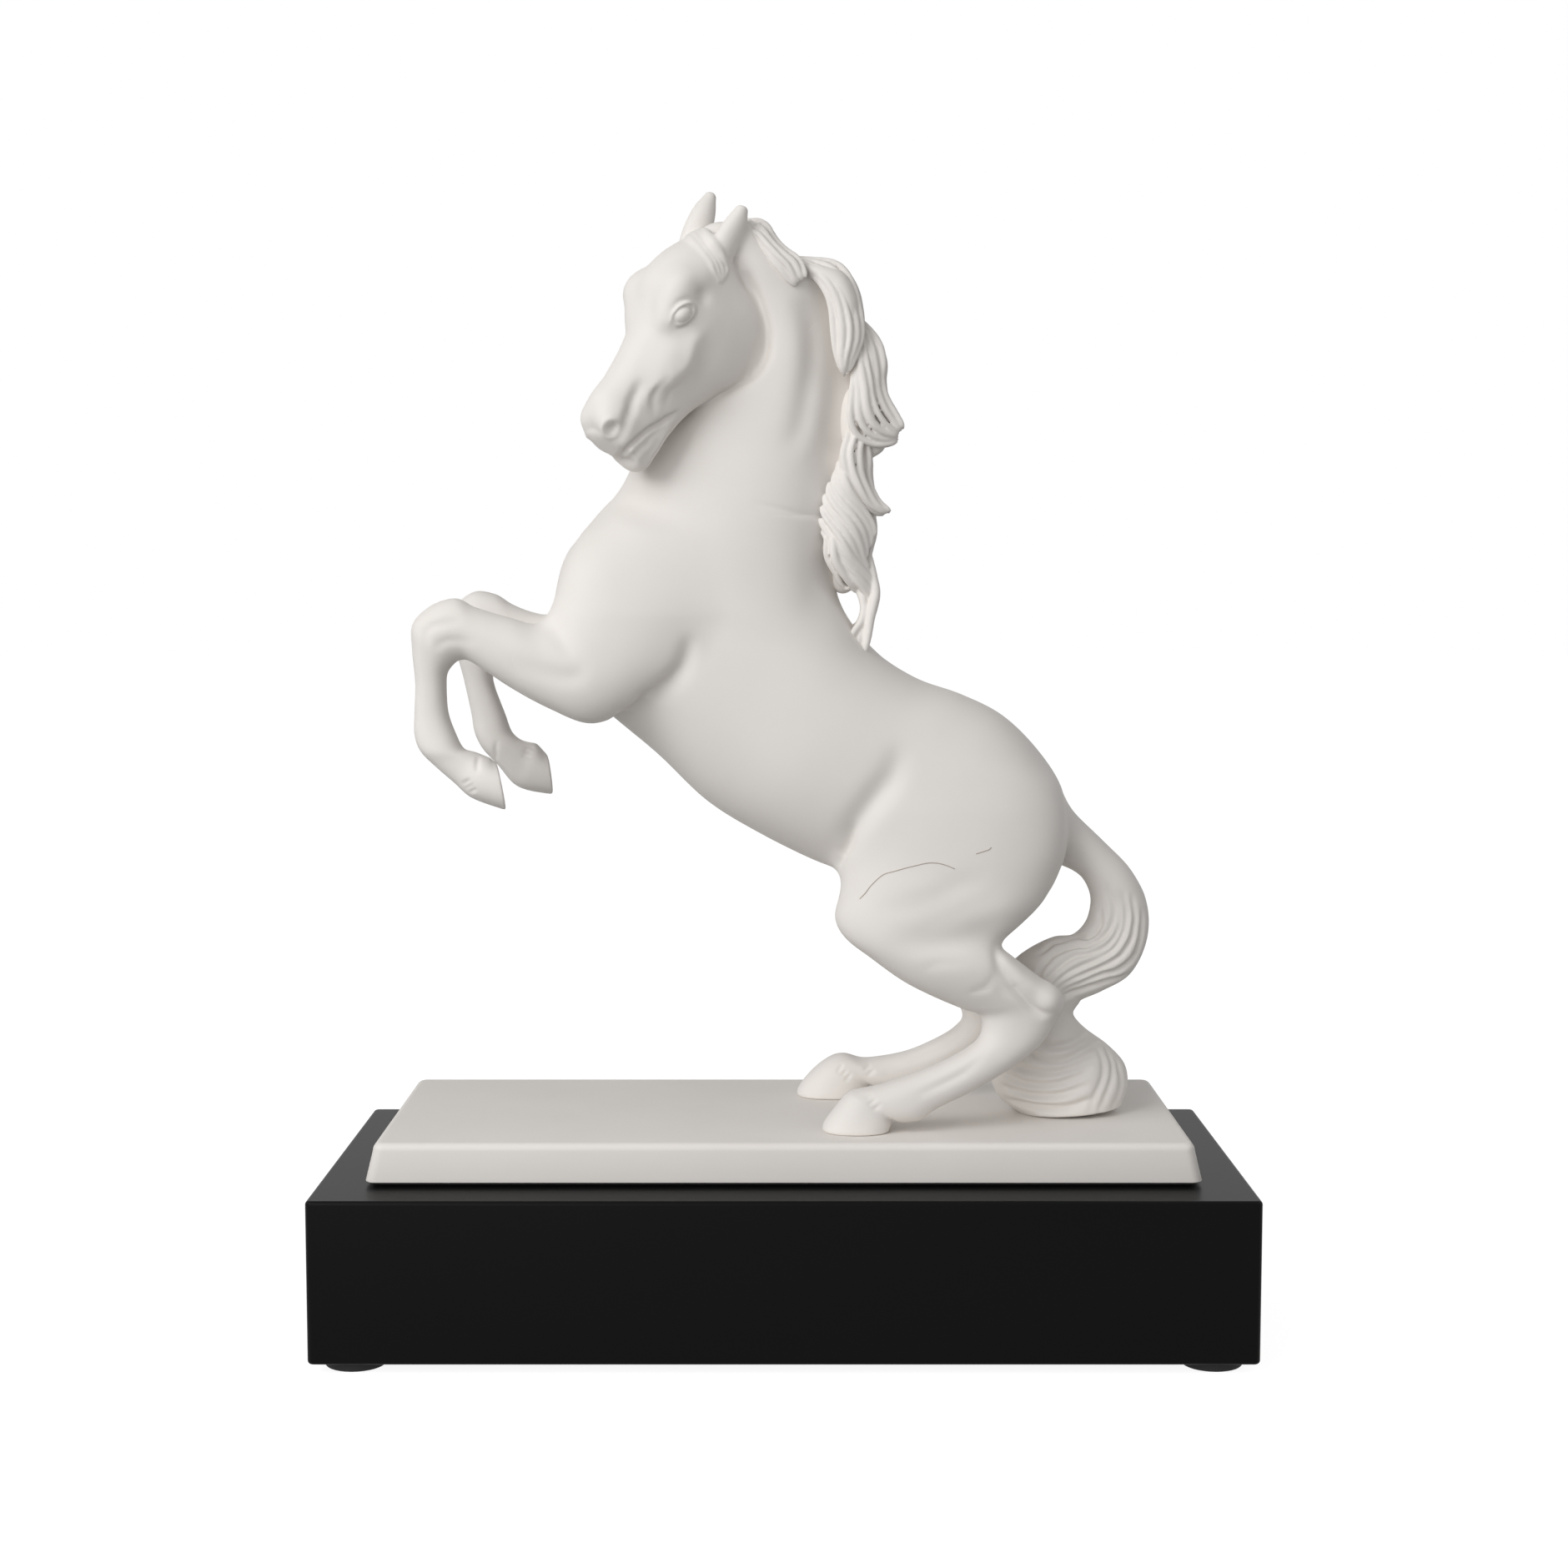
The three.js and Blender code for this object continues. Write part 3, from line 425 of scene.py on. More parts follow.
class Clay:
    """A block of clay: how far each cell lies outside the form, below nought where it is inside."""

    def __init__(self, low, high, cell, band):
        self.cell = cell
        self.band = band
        self.first = np.floor(np.asarray(low) / cell).astype(int)
        count = np.ceil(np.asarray(high) / cell).astype(int) - self.first + 1
        self.field = np.full(count, band, np.float32)

    def window(self, low, high):
        """The part of the block between two corners, or None where it does not reach."""
        start = np.maximum(np.floor(np.asarray(low) / self.cell).astype(int) - self.first, 0)
        stop = np.ceil(np.asarray(high) / self.cell).astype(int) - self.first + 1
        stop = np.minimum(stop, self.field.shape)
        if (stop <= start).any():
            return None
        return tuple(slice(int(a), int(b)) for a, b in zip(start, stop))

    def places(self, part):
        """The x, y and z of a part's cells, each along its own axis."""
        x, y, z = [
            ((np.arange(span.start, span.stop) + first) * self.cell).astype(np.float32)
            for span, first in zip(part, self.first)
        ]
        return x[:, None, None], y[None, :, None], z[None, None, :]

    def join(self, part, other, soft):
        """Joins another form's distances to a part, with a fillet of about the given size."""
        mine, far = self.field[part], self.band * FAR_SHARE
        soft = np.maximum(soft, 1e-6)
        overlap = np.maximum(soft - np.abs(mine - other), 0)
        overlap[(mine >= far) | (other >= far)] = 0
        self.field[part] = np.minimum(mine, other) - overlap * overlap / (4 * soft)

    def add(self, form, soft=0.0):
        """Adds a skinned form; soft is the fillet, or a function of x, y and z that gives it."""
        points, quads, fans = form
        part = self.window(points.min(axis=0) - self.band, points.max(axis=0) + self.band)
        if part is None:
            return
        grid = openvdb.FloatGrid.createLevelSetFromPolygons(
            points.astype(np.float32),
            triangles=fans.astype(np.uint32),
            quads=quads.astype(np.uint32),
            transform=openvdb.createLinearTransform(voxelSize=self.cell),
            halfWidth=self.band / self.cell,
        )
        other = np.empty([span.stop - span.start for span in part], np.float32)
        corner = tuple(int(span.start + first) for span, first in zip(part, self.first))
        grid.copyToArray(other, ijk=corner)
        self.join(part, other, soft(*self.places(part)) if callable(soft) else soft)

    def around(self, at, size, axes, reach):
        """A window round a place and its cells' offsets along three axes, each in shares of its size."""
        span = reach * np.abs(axes) @ size
        part = self.window(at - span, at + span)
        if part is None:
            return None, None
        offset = [line - middle for line, middle in zip(self.places(part), at)]
        return part, [sum(axes[i, j] * offset[i] for i in range(3)) / size[j] for j in range(3)]

    def lump(self, at, size, soft, axes=np.eye(3)):
        """Adds an egg-shaped lump."""
        size = np.asarray(size, float)
        part, share = self.around(at, size, axes, 1 + (soft + 2 * self.cell) / size.min())
        if part is None:
            return
        near = np.sqrt(sum(s * s for s in share))
        slope = np.sqrt(sum((s / r) ** 2 for s, r in zip(share, size)))
        egg = (near * (near - 1) / np.maximum(slope, 1e-6)).astype(np.float32)
        self.join(part, egg, soft)

    def press(self, at, size, depth, axes=np.eye(3)):
        """Presses the surface in by a depth round a place; a depth below nought swells it."""
        part, share = self.around(at, np.broadcast_to(np.asarray(size, float), 3), axes, TOOL_REACH)
        if part is not None:
            self.field[part] += (depth * np.exp(-sum(s * s for s in share))).astype(np.float32)

    def score(self, path, width, depth):
        """Scores a groove that fades at its ends; a depth below nought raises a ridge."""
        path = curve(path, LINE_STEPS)
        if self.window(path.min(axis=0), path.max(axis=0)) is None:
            return
        path = self.settled(path)
        room = TOOL_REACH * width + abs(depth)
        mark = np.zeros(self.field.shape, np.float32)
        fade = np.sin(np.pi * (np.arange(len(path) - 1) + 0.5) / (len(path) - 1)) ** 0.5
        for a, b, up, strength in zip(path[:-1], path[1:], self.slopes(path), fade):
            spot = self.window(np.minimum(a, b) - room, np.maximum(a, b) + room)
            if spot is None:
                continue
            offset = [line - start for line, start in zip(self.places(spot), a)]
            way = b - a
            along = np.clip(sum(o * w for o, w in zip(offset, way)) / max(way @ way, 1e-9), 0, 1)
            away = [o - along * w for o, w in zip(offset, way)]
            lift = sum(o * u for o, u in zip(away, up))
            distance = sum(o * o for o in away) - lift * lift
            bump = strength * np.exp(-distance / width**2) * (np.abs(lift) < room)
            mark[spot] = np.maximum(mark[spot], bump)
        part = self.window(path.min(axis=0) - room, path.max(axis=0) + room)
        self.field[part] += depth * mark[part]

    def soften(self):
        """Smooths the form over neighbouring cells."""
        for axis in range(3):
            line = np.moveaxis(self.field, axis, 0)
            line[1:-1] = (line[:-2] + 2 * line[1:-1] + line[2:]) / 4

    def read(self, points):
        """The distances at places between the cells."""
        spot = np.asarray(points) / self.cell - self.first
        spot = np.clip(spot, 0, np.array(self.field.shape) - 1.001)
        base = spot.astype(int)
        share = spot - base
        total = np.zeros(len(spot))
        for corner in np.ndindex(2, 2, 2):
            weight = np.prod(np.where(corner, share, 1 - share), axis=1)
            total += weight * self.field[tuple((base + corner).T)]
        return total

    def slopes(self, points):
        """The directions out of the form at places, each of length one."""
        steps = np.eye(3) * self.cell
        ways = np.stack([self.read(points + step) - self.read(points - step) for step in steps], axis=1)
        return ways / np.maximum(np.linalg.norm(ways, axis=1, keepdims=True), 1e-9)

    def settled(self, points):
        """Places moved onto the surface nearest to them."""
        points = np.array(points, float)
        for _ in range(4):
            points -= self.read(points)[:, None] * self.slopes(points)
        return points

    def side(self, x, z, way):
        """The outermost place at an x and z, seen from the left (-1) or the right (1), or None."""
        i, k = int(round(x / self.cell)) - self.first[0], int(round(z / self.cell)) - self.first[2]
        if not (0 <= i < self.field.shape[0] and 0 <= k < self.field.shape[2]):
            return None
        inside = np.flatnonzero(self.field[i, :, k] < 0)
        if not len(inside):
            return None
        return np.array([x, (inside[0 if way < 0 else -1] + self.first[1]) * self.cell, z])

    def flank(self, path, way):
        """A path given by x and z, laid on the outermost surface, or None where there is none."""
        found = [self.side(x, z, way) for x, z in curve(path, LINE_STEPS)]
        found = [place for place in found if place is not None]
        return np.array(found) if len(found) > 3 else None

    def trim(self, low, high, at, way):
        """Cuts the form off flat along a plane."""
        part = self.window(low, high)
        if part is not None:
            past = sum(w * (line - a) for line, a, w in zip(self.places(part), at, way))
            self.field[part] = np.maximum(self.field[part], past)

    def tuck(self, low, high, at, way):
        """Sinks what lies past a seam under the piece fitted there, and ends it a little further on."""
        part = self.window(low, high)
        past = sum(w * (line - a) for line, a, w in zip(self.places(part), at, way))
        sunk = self.field[part] + TUCK_SLOPE * np.maximum(past - self.cell, 0)
        self.field[part] = np.maximum(sunk, past - TUCK_LENGTH)

    def surface(self):
        """Points and quads of the form's surface, closed at the block's sides."""
        for axis in range(3):
            line = np.moveaxis(self.field, axis, 0)
            line[0] = line[-1] = self.band
        grid = openvdb.FloatGrid(self.band)
        grid.transform = openvdb.createLinearTransform(voxelSize=self.cell)
        grid.copyFromArray(self.field, ijk=tuple(int(v) for v in self.first))
        points, _, quads = grid.convertToPolygons(isovalue=0.0, adaptivity=0)
        return points.astype(float), quads


# Seams between the pieces of the figure: a place on each and the way out of the body
TUCK_SLOPE = 0.5
TUCK_LENGTH = 5.0
SEAMS = {
    "neck": ((12, 0, 188), (0.148, 0, 0.989)),
    "head": ((-8.2, 0, 229), (-0.749, 0, 0.663)),
    "left_foreleg": ((-82, 0, 147), (-0.947, 0, -0.322)),
    "right_foreleg": ((-84, 0, 150), (-0.937, 0, -0.349)),
    "left_hind_leg": ((62, 0, 45.5), (0.157, 0, -0.988)),
    "right_hind_leg": ((60, 0, 40.3), (0.109, 0, -0.994)),
    "tail": ((98.5, 0, 82), (0.766, 0, -0.643)),
}


def forearm_fillet(x, y, z):
    """Soft over the shoulder, tight at the elbow."""
    return np.interp(z, [132, 160, 186, 194], [3.5, 16.0, 16.0, 11.0]).astype(np.float32)


def tail_fillet(x, y, z):
    """Smooth along the top of the dock, tight under it."""
    return np.interp(z, [84, 94], [2.0, 5.0]).astype(np.float32)


def thigh_fillet(x, y, z):
    """Soft over the croup, tighter at the stifle."""
    return np.interp(z, [60, 100], [5.0, 13.0]).astype(np.float32)


# Soles of the raised hooves: a box round each, a place on it and the way it faces
SOLES = [
    ((-96, -40, 94), (-76, -12, 122), (-86.9, -26, 107.0), (0.971, 0.156, 0.182)),
    ((-86, 10, 94), (-66, 38, 122), (-76.6, 23, 107.0), (0.980, 0.156, 0.119)),
]
# How boxy the sections are, 1 for an ellipse
TRUNK_SQUARE = 0.86
LEG_SQUARE = 0.87
HEAD_SQUARE = 0.85
# Points of the hocks
HOCKS = [np.array([81.4, -26.5, 40.6]), np.array([78.6, 25.5, 34.6])]
HOCK_SIZE = (4.5, 6.2, 4.5)
# Fillets between the larger forms
NECK_FILLET = 10
HOCK_FILLET = 3
HEAD_FILLET = 1.2
EAR_FILLET = 1.5


def model_horse(clay):
    """The whole figure but its hair; only what lies in the block is modelled."""
    clay.add(loft(TRUNK, dome=(3, 2), square=TRUNK_SQUARE))
    clay.add(loft(NECK, dome=(0, 3)), NECK_FILLET)
    for leg in (LEFT_FORELEG, RIGHT_FORELEG):
        clay.add(loft(leg, square=LEG_SQUARE), forearm_fillet)
    for leg in (LEFT_HIND_LEG, RIGHT_HIND_LEG):
        clay.add(loft(leg, square=LEG_SQUARE), thigh_fillet)
    clay.add(loft(TAIL_DOCK[:6]), tail_fillet)
    for hock in HOCKS:
        clay.lump(hock, HOCK_SIZE, HOCK_FILLET)
    for sole in SOLES:
        clay.trim(*sole)
    throat = clay.flank(THROAT_HOLLOW, -1)
    if throat is not None:
        clay.score(throat - [THROAT_SETBACK, 0, 0], THROAT_WIDTH, THROAT_DEPTH)
    clay.add(on_head(loft(HEAD, dome=(2, 2), square=HEAD_SQUARE)), HEAD_FILLET)
    model_face(clay)
    clay.soften()
    detail_body(clay)
    detail_face(clay)


# Forms of the head on its left (1) and its right (-1): along, up and left, then size and fillet
FACE_FORMS = {
    "brow": ({1: (22.5, 2.6, 9.9), -1: (22.8, 3.7, -10.8)}, (4, 4.2, 6), 5),
    "orbit": ({1: (29, -1, 9.1), -1: (29, -1, -7.4)}, (4.5, 4.4, 6), 5),
    "cheekbone": ({1: (36, -10.5, 8.6), -1: (36, -10.5, -8.6)}, (5, 5, 14), 5),
    "jowl": ({1: (22, -19.5, 7.5), -1: (22, -19.5, -7.5)}, (14, 6, 15), 4),
    "jaw_corner": ({1: (14, -22, 8), -1: (14, -22, -8)}, (11, 5, 9), 3),
    "nostril_wing": ({1: (66, -9, 4.9), -1: (66, -9, -4.9)}, (5.2, 3.9, 4.6), 4),
}
CHIN = (66.8, -24.4, 0)
CHIN_SIZE = (3.6, 5, 4.2)
CHIN_FILLET = 2


def model_face(clay):
    """The larger forms of the head, and its ears."""
    for left in (-1, 1):
        for places, size, fillet in FACE_FORMS.values():
            clay.lump(face(*places[left]), size, fillet, HEAD_AXES)
    clay.lump(face(*CHIN), CHIN_SIZE, CHIN_FILLET, HEAD_AXES)
    for ear in (LEFT_EAR, RIGHT_EAR):
        clay.add(on_head(loft(ear, dome=(0, 1.6))), EAR_FILLET)


def both_sides(path):
    """A path on the left of the head, and its mirror image on the right."""
    across = HEAD_AXES[:, 1]
    return path, path - 2 * ((path - POLL) @ across)[:, None] * across


# Lines of the face, as seen on its left: width, depth (a ridge below nought), x and z along the line
FACE_LINES = [
    # Cheekbone's ridge
    (2.5, -1.0, [(-25.2, 246), (-27.5, 241.4), (-29.4, 236), (-32.9, 232.1), (-38.3, 229)]),
    # Creases from cheek to nostril
    (1.8, 1.3, [(-43.6, 229.5), (-44.5, 227), (-45.7, 224), (-46.8, 219.7), (-48.6, 214.6), (-52, 212)]),
    (1.4, 0.55, [(-34.8, 231.2), (-38.3, 228.2), (-39.7, 224.4), (-39.3, 221)]),
    (1.2, -0.3, [(-37.2, 230.4), (-40.6, 227.4), (-41.8, 223.4)]),
    (1.2, 0.35, [(-30.6, 230.8), (-34.4, 227.5), (-35.6, 224)]),
    # Mouth, lower lip and jaw
    (0.9, 2.2, [(-50.5, 207.6), (-48.7, 209), (-44.9, 212.4), (-40.6, 216.2), (-35.2, 219.7),
                (-32.6, 221.6)]),
    (1.5, 0.8, [(-36.8, 218.2), (-40.6, 213.4), (-44.9, 208.6), (-47, 206.4)]),
    (1.3, -0.7, [(-34.6, 218), (-38.3, 212), (-42.2, 205.6)]),
]
THROAT_HOLLOW = [(-11.2, 263.9), (-8.4, 255.9), (-6.4, 248), (-6.4, 241.6), (-8.4, 236.5),
                 (-13.9, 232.1), (-20.3, 228.9)]
THROAT_SETBACK = 0.6
THROAT_WIDTH = 2.4
THROAT_DEPTH = 3.5
# Middles of the eye, the hollow and the rise behind it, and the nostril: x and z
EYE = (-30.2, 250.3)
TEMPLE = (-24.6, 256.4)
TEMPLE_RISE = (-23.8, 262.4)
NOSTRIL = (-51.9, 215.8)
# Sizes and depths of the presses at temple and lip
TEMPLE_SIZE = (2.3, 2.1, 2.2)
TEMPLE_DEPTH = 1.2
TEMPLE_RISE_SIZE = 4.2
TEMPLE_RISE_DEPTH = -1.1
LIP = {1: (71.5, -20.5, 1.5), -1: (71.5, -20.5, -1.5)}
LIP_SIZE = (1.5, 4, 2.5)
LIP_DEPTH = 0.5
FORELOCK_STRANDS = 4
FORELOCK_FILLET = 1.4
FORELOCK_EDGES = (
    [(-26, 277.6), (-24.4, 276.4), (-21.5, 272.6), (-18.9, 268.7), (-17.7, 264.8), (-19.5, 261.2)],
    [(-29.5, 276), (-28, 274.3), (-24.9, 270.3), (-22.6, 267.2), (-21.4, 264.4), (-20, 261.2)],
)


def detail_face(clay):
    """Eyes, nostrils, mouth, the planes of the cheek and the forelock."""
    for left in (-1, 1):
        clay.press(face(*LIP[left]), LIP_SIZE, LIP_DEPTH, HEAD_AXES)
    for width, depth, line in FACE_LINES:
        path = clay.flank(line, -1)
        if path is not None:
            for stroke in both_sides(path):
                clay.score(stroke, width, depth)
    spots = [clay.side(x, z, -1) for x, z in (EYE, TEMPLE, TEMPLE_RISE, NOSTRIL)]
    if any(spot is None for spot in spots):
        return
    for eye, temple, rise, nostril in zip(*[both_sides(spot[None]) for spot in spots]):
        clay.press(rise[0], TEMPLE_RISE_SIZE, TEMPLE_RISE_DEPTH)
        clay.press(temple[0], TEMPLE_SIZE, TEMPLE_DEPTH, HEAD_AXES)
        model_nostril(clay, nostril[0])
        model_eye(clay, eye[0])
    edges = [clay.flank(edge, -1) for edge in FORELOCK_EDGES]
    count = min(len(edge) for edge in edges)
    edges = [edge[-count:] for edge in edges]
    picked = np.linspace(0, count - 1, 6).astype(int)
    strands = []
    for share in np.linspace(0, 1, FORELOCK_STRANDS):
        path = even(clay.settled((1 - share) * edges[0] + share * edges[1])[picked], STRAND_POINTS)
        along = np.linspace(0, 1, STRAND_POINTS)
        path += (0.7 - 1.3 * share) * np.sin(np.pi * along)[:, None] * (HEAD_AXES @ [-0.6, -0.8, 0])
        radii = STRAND_TIP + (1.6 - 0.3 * share) * np.sin(np.pi * (0.3 + 0.68 * along)) ** 1.5
        strands.append(strand(path, radii))
    clay.add(bundle(strands), FORELOCK_FILLET)


def tangent_axes(clay, at, along):
    """Axes at a place on the surface: along it, across it and out of it."""
    out = clay.slopes(at[None])[0]
    along = along - (along @ out) * out
    along /= np.linalg.norm(along)
    across = np.cross(out, along)
    return np.stack([along, across, out], axis=1)


def arc(axes, at, long, high, start, stop):
    """Part of an oval ring round a place on the surface, its angles counted from the muzzle's side."""
    turn = np.radians(np.linspace(start, stop, ARC_POINTS))[:, None]
    return at + long * np.cos(turn) * axes[:, 0] + high * np.sin(turn) * axes[:, 1]


# Folds round the eye: half length, half height, width, depth, first and last angle
EYE_FOLDS = {
    "upper_lid": (4.7, 3.0, 0.8, -0.9, -12, 192),
    "crease_above": (5.9, 4.3, 0.7, 0.6, 15, 190),
    "lower_lid": (4.4, 2.3, 0.65, -0.65, 186, 350),
    "crease_below": (5.6, 3.6, 0.6, 0.35, 180, 310),
    "tear_corner": (5.3, 2.9, 0.5, 0.45, -35, 0),
}
EYE_SOCKET = (5, 4, 3)
EYE_SOCKET_DEPTH = 0.25
EYE_BALL = (3.0, 2.35, 2.5)
EYE_SINK = 1.1
EYE_FILLET = 0.15


def model_eye(clay, at):
    """A ball between two lids, with a crease above the upper one and a fold behind the lower."""
    axes = tangent_axes(clay, clay.settled(at[None])[0], HEAD_AXES @ np.array([-0.25, 0, -0.97]))
    if axes[:, 1] @ HEAD_AXES[:, 0] > 0:
        axes[:, 1] *= -1
    out = axes[:, 2]
    clay.press(at, EYE_SOCKET, EYE_SOCKET_DEPTH, axes)
    for long, high, width, depth, start, stop in EYE_FOLDS.values():
        clay.score(arc(axes, at, long, high, start, stop), width, depth)
    clay.lump(at - EYE_SINK * out, EYE_BALL, EYE_FILLET, axes)


# Nostril: half length, half height, first and last angle of its rim, then the pit and its deeper end
NOSTRIL_RIM = (3.2, 2.9, -200, 60)
NOSTRIL_RIM_WIDTH = 1.0
NOSTRIL_RIM_DEPTH = -0.65
NOSTRIL_PIT = (2.4, 1.8, 3.0)
NOSTRIL_PIT_DEPTH = 1.7
NOSTRIL_END = (1.2, 1.0, 3.0)
NOSTRIL_END_DEPTH = 0.9


def model_nostril(clay, at):
    """A rounded pit with a raised rim, thickest below and behind."""
    axes = tangent_axes(clay, clay.settled(at[None])[0], HEAD_AXES @ np.array([0.3, 0, -0.95]))
    clay.score(arc(axes, at, *NOSTRIL_RIM), NOSTRIL_RIM_WIDTH, NOSTRIL_RIM_DEPTH)
    clay.press(at + 0.3 * axes[:, 1], NOSTRIL_PIT, NOSTRIL_PIT_DEPTH, axes)
    end = at - 0.8 * axes[:, 0] + 0.5 * axes[:, 1]
    clay.press(end, NOSTRIL_END, NOSTRIL_END_DEPTH, axes)


# Lines on the left of the body and legs: width, depth (a ridge below nought), x and z along the line
BODY_LINES = [
    # Neck, its seam and the hollow before the mane
    (4.0, 1.6, [(5.9, 256), (7.8, 250), (8.7, 244.6), (8.4, 235.1), (6.8, 225.6), (5.1, 217.6),
                (2.7, 212.9)]),
    (0.7, 0.3, [(-9.1, 194.1), (-1.2, 192.5), (5, 190.9), (10.5, 190.2)]),
    (8.0, 3.4, [(12, 260), (16, 246), (17.5, 230), (16, 214), (11.5, 200)]),
    (8.0, 1.6, [(11, 190), (11.5, 180), (11, 170), (9, 160)]),
    # Stifle, flank and thigh
    (5.0, 1.6, [(36, 60.5), (47, 60), (58.8, 62), (63, 63)]),
    (4.0, 2.2, [(15.5, 84), (18.3, 89), (20.8, 94), (24.6, 99.5), (28.6, 105), (32.4, 110), (35, 117)]),
    (1.6, 1.5, [(22, 95), (19.6, 88.4), (17.4, 82)]),
    (4.0, 0.7, [(30.7, 69.7), (42.4, 72), (53.2, 76.7), (59.5, 79)]),
    (4.0, 0.6, [(43.9, 65.8), (55.6, 70.5), (64.1, 73.6)]),
    # Hock and cannon
    (2.0, 0.6, [(64.6, 55), (65.5, 49.7), (67.5, 45.6), (71, 43.8)]),
    (2.4, -0.5, [(67.1, 55.5), (73.3, 48.9), (78.8, 44.2), (82.6, 41.9)]),
    (1.6, 1.7, [(64.8, 56.6), (67.1, 51.2), (71, 45.8), (74.9, 41.1), (78.4, 38), (81.5, 37.1)]),
    (1.4, 0.6, [(41.5, 12.4), (48.5, 15.5), (54.7, 18.6), (60.9, 23.3)]),
    # Wrinkles of the hind pastern
    (0.6, 0.5, [(25.4, 11.3), (27.2, 12.4)]),
    (0.6, 0.5, [(26.4, 9.7), (28.3, 10.9)]),
    (0.6, 0.5, [(27.6, 8.2), (29.5, 9.3)]),
    # Gaskin
    (1.4, 0.3, [(55.3, 53.7), (47.1, 53.7), (43, 52)]),
    (1.4, 0.4, [(64, 49.7), (61.7, 46.2), (57.6, 45)]),
    # Breast, elbow and forearm
    (3.0, 1.0, [(-70, 157.5), (-67.6, 153), (-64.2, 148.1)]),
    (2.8, 2.0, [(-51.5, 128.5), (-44.4, 133.4), (-39, 136.8), (-33.8, 141.1), (-30.4, 145.8),
                (-29, 151.6)]),
    (3.0, 0.7, [(-80, 145.5), (-74, 143.2), (-67, 141.4), (-62.5, 142), (-62, 147)]),
    # Knee
    (1.6, 0.5, [(-108.5, 151.6), (-107.9, 155.7), (-103.2, 157.4), (-99.1, 158)]),
    (1.5, 0.4, [(-105.5, 150.4), (-102, 152.3), (-94.5, 152)]),
    # Coronet and wrinkles of the fore pastern
    (0.7, 0.6, [(-93.2, 118.2), (-93.5, 115.5), (-93.4, 112.5)]),
    (0.6, 0.6, [(-97.9, 108.6), (-95.6, 109.8)]),
    (0.6, 0.6, [(-97.1, 107.2), (-94.8, 108.4)]),
    (0.6, 0.6, [(-96.2, 105.9), (-94, 107)]),
]
# Lines on the inner face of the right legs: width, depth, x and z along the line
INNER_LINES = [
    # Hind pastern
    (0.6, 0.5, [(17.8, 9.1), (19, 11.2)]),
    (0.6, 0.5, [(19, 7.9), (20.7, 9.5)]),
    (0.6, 0.5, [(20.3, 6.6), (21.9, 8.3)]),
    # Fore pastern
    (0.6, 0.5, [(-84.1, 116.2), (-81.4, 115.7)]),
    (0.6, 0.5, [(-84.5, 115), (-82, 114.3)]),
    (0.6, 0.5, [(-85, 113.7), (-82.7, 113.2)]),
]


def detail_body(clay):
    """Grooves and folds of neck, thigh, hock and knee."""
    for width, depth, line in BODY_LINES:
        path = clay.flank(line, -1)
        if path is not None:
            clay.score(path, width, depth)
    for width, depth, line in INNER_LINES:
        path = clay.flank(line, -1)
        if path is not None and path[:, 1].min() > 0:
            clay.score(path, width, depth)


# Swags of the lower tail, and the lobe at their end: x and z along each groove
TAIL_SWAGS = [
    [(79.4, 25.4), (84.2, 23.7), (90.2, 24.2), (96.2, 26.6)],
    [(75.8, 22.5), (81.8, 19.5), (89, 19.5), (96.2, 22.5), (100.9, 23.7)],
    [(71.7, 17.7), (77, 15.9), (84.2, 15.3), (91.4, 17.1), (98.5, 19.5)],
    [(69.9, 14.1), (75.2, 11.7), (83, 11.1), (90.2, 12.9), (96.2, 15.9)],
    [(69.9, 9.3), (78.2, 7.6), (87.2, 8.1), (95, 11.1)],
    [(72, 5), (80, 3.5), (90, 4), (97, 6.5)],
]
TAIL_LOBE = [
    [(99.7, 21.9), (101.5, 17.7), (100.9, 12.9), (98.5, 7.6), (97, 3)],
    [(102.7, 21.9), (104.5, 16.5), (103.9, 11.7), (102.1, 7.6), (100, 2.5)],
    [(106, 18), (107.5, 13), (107, 8), (104.5, 3)],
]
# Hair of the bend, gathered behind the hock: x and z along each groove
TAIL_FAN = [
    [(100.5, 66), (100, 61), (97.5, 58), (92, 57), (86, 55.4), (81, 52)],
    [(102.3, 73.9), (104.3, 67.5), (103.9, 62.7), (101.1, 57.9), (96, 55.2), (91.6, 54.7),
     (85.2, 51.9), (81.2, 47.5), (80.8, 44.3), (80.6, 40)],
    [(105, 71.5), (106.1, 64.3), (105.3, 59.5), (102, 55.1), (97, 52.9), (92, 52), (87.6, 49.1),
     (83.6, 45.1), (82.6, 42.7), (82, 39)],
    [(107, 72), (108.3, 65.9), (107.5, 59.5), (104.3, 54.2), (99, 51), (94, 48.8), (90, 46.7),
     (85.2, 42.7), (83.4, 39)],
    [(110, 70.7), (111.1, 63.5), (109.9, 57.1), (106.5, 52), (101, 48.7), (96, 46.6), (92.4, 45.1),
     (86.4, 41.5), (84.4, 38.5)],
    [(113.3, 66), (113.2, 58), (111, 51.5), (106.5, 47.6), (101.1, 45.9), (94, 43.1), (87.6, 40.3),
     (85.5, 37.5)],
    [(109.1, 45.4), (101.1, 43.3), (94.8, 41.1), (88.8, 39.1), (86.5, 36.5)],
]
# Width and depth of each set of grooves
TAIL_GROOVES = [(TAIL_FAN, 0.95, 1.5), (TAIL_SWAGS, 1.4, 2.4), (TAIL_LOBE, 1.25, 0.9)]
# Grooves along the back of the bend: where they lie round the dock, their size and the row they start at
BEND_TURNS = np.radians([8, 22])
BEND_WIDTH = 1.2
BEND_DEPTH = 0.9
BEND_START = 28


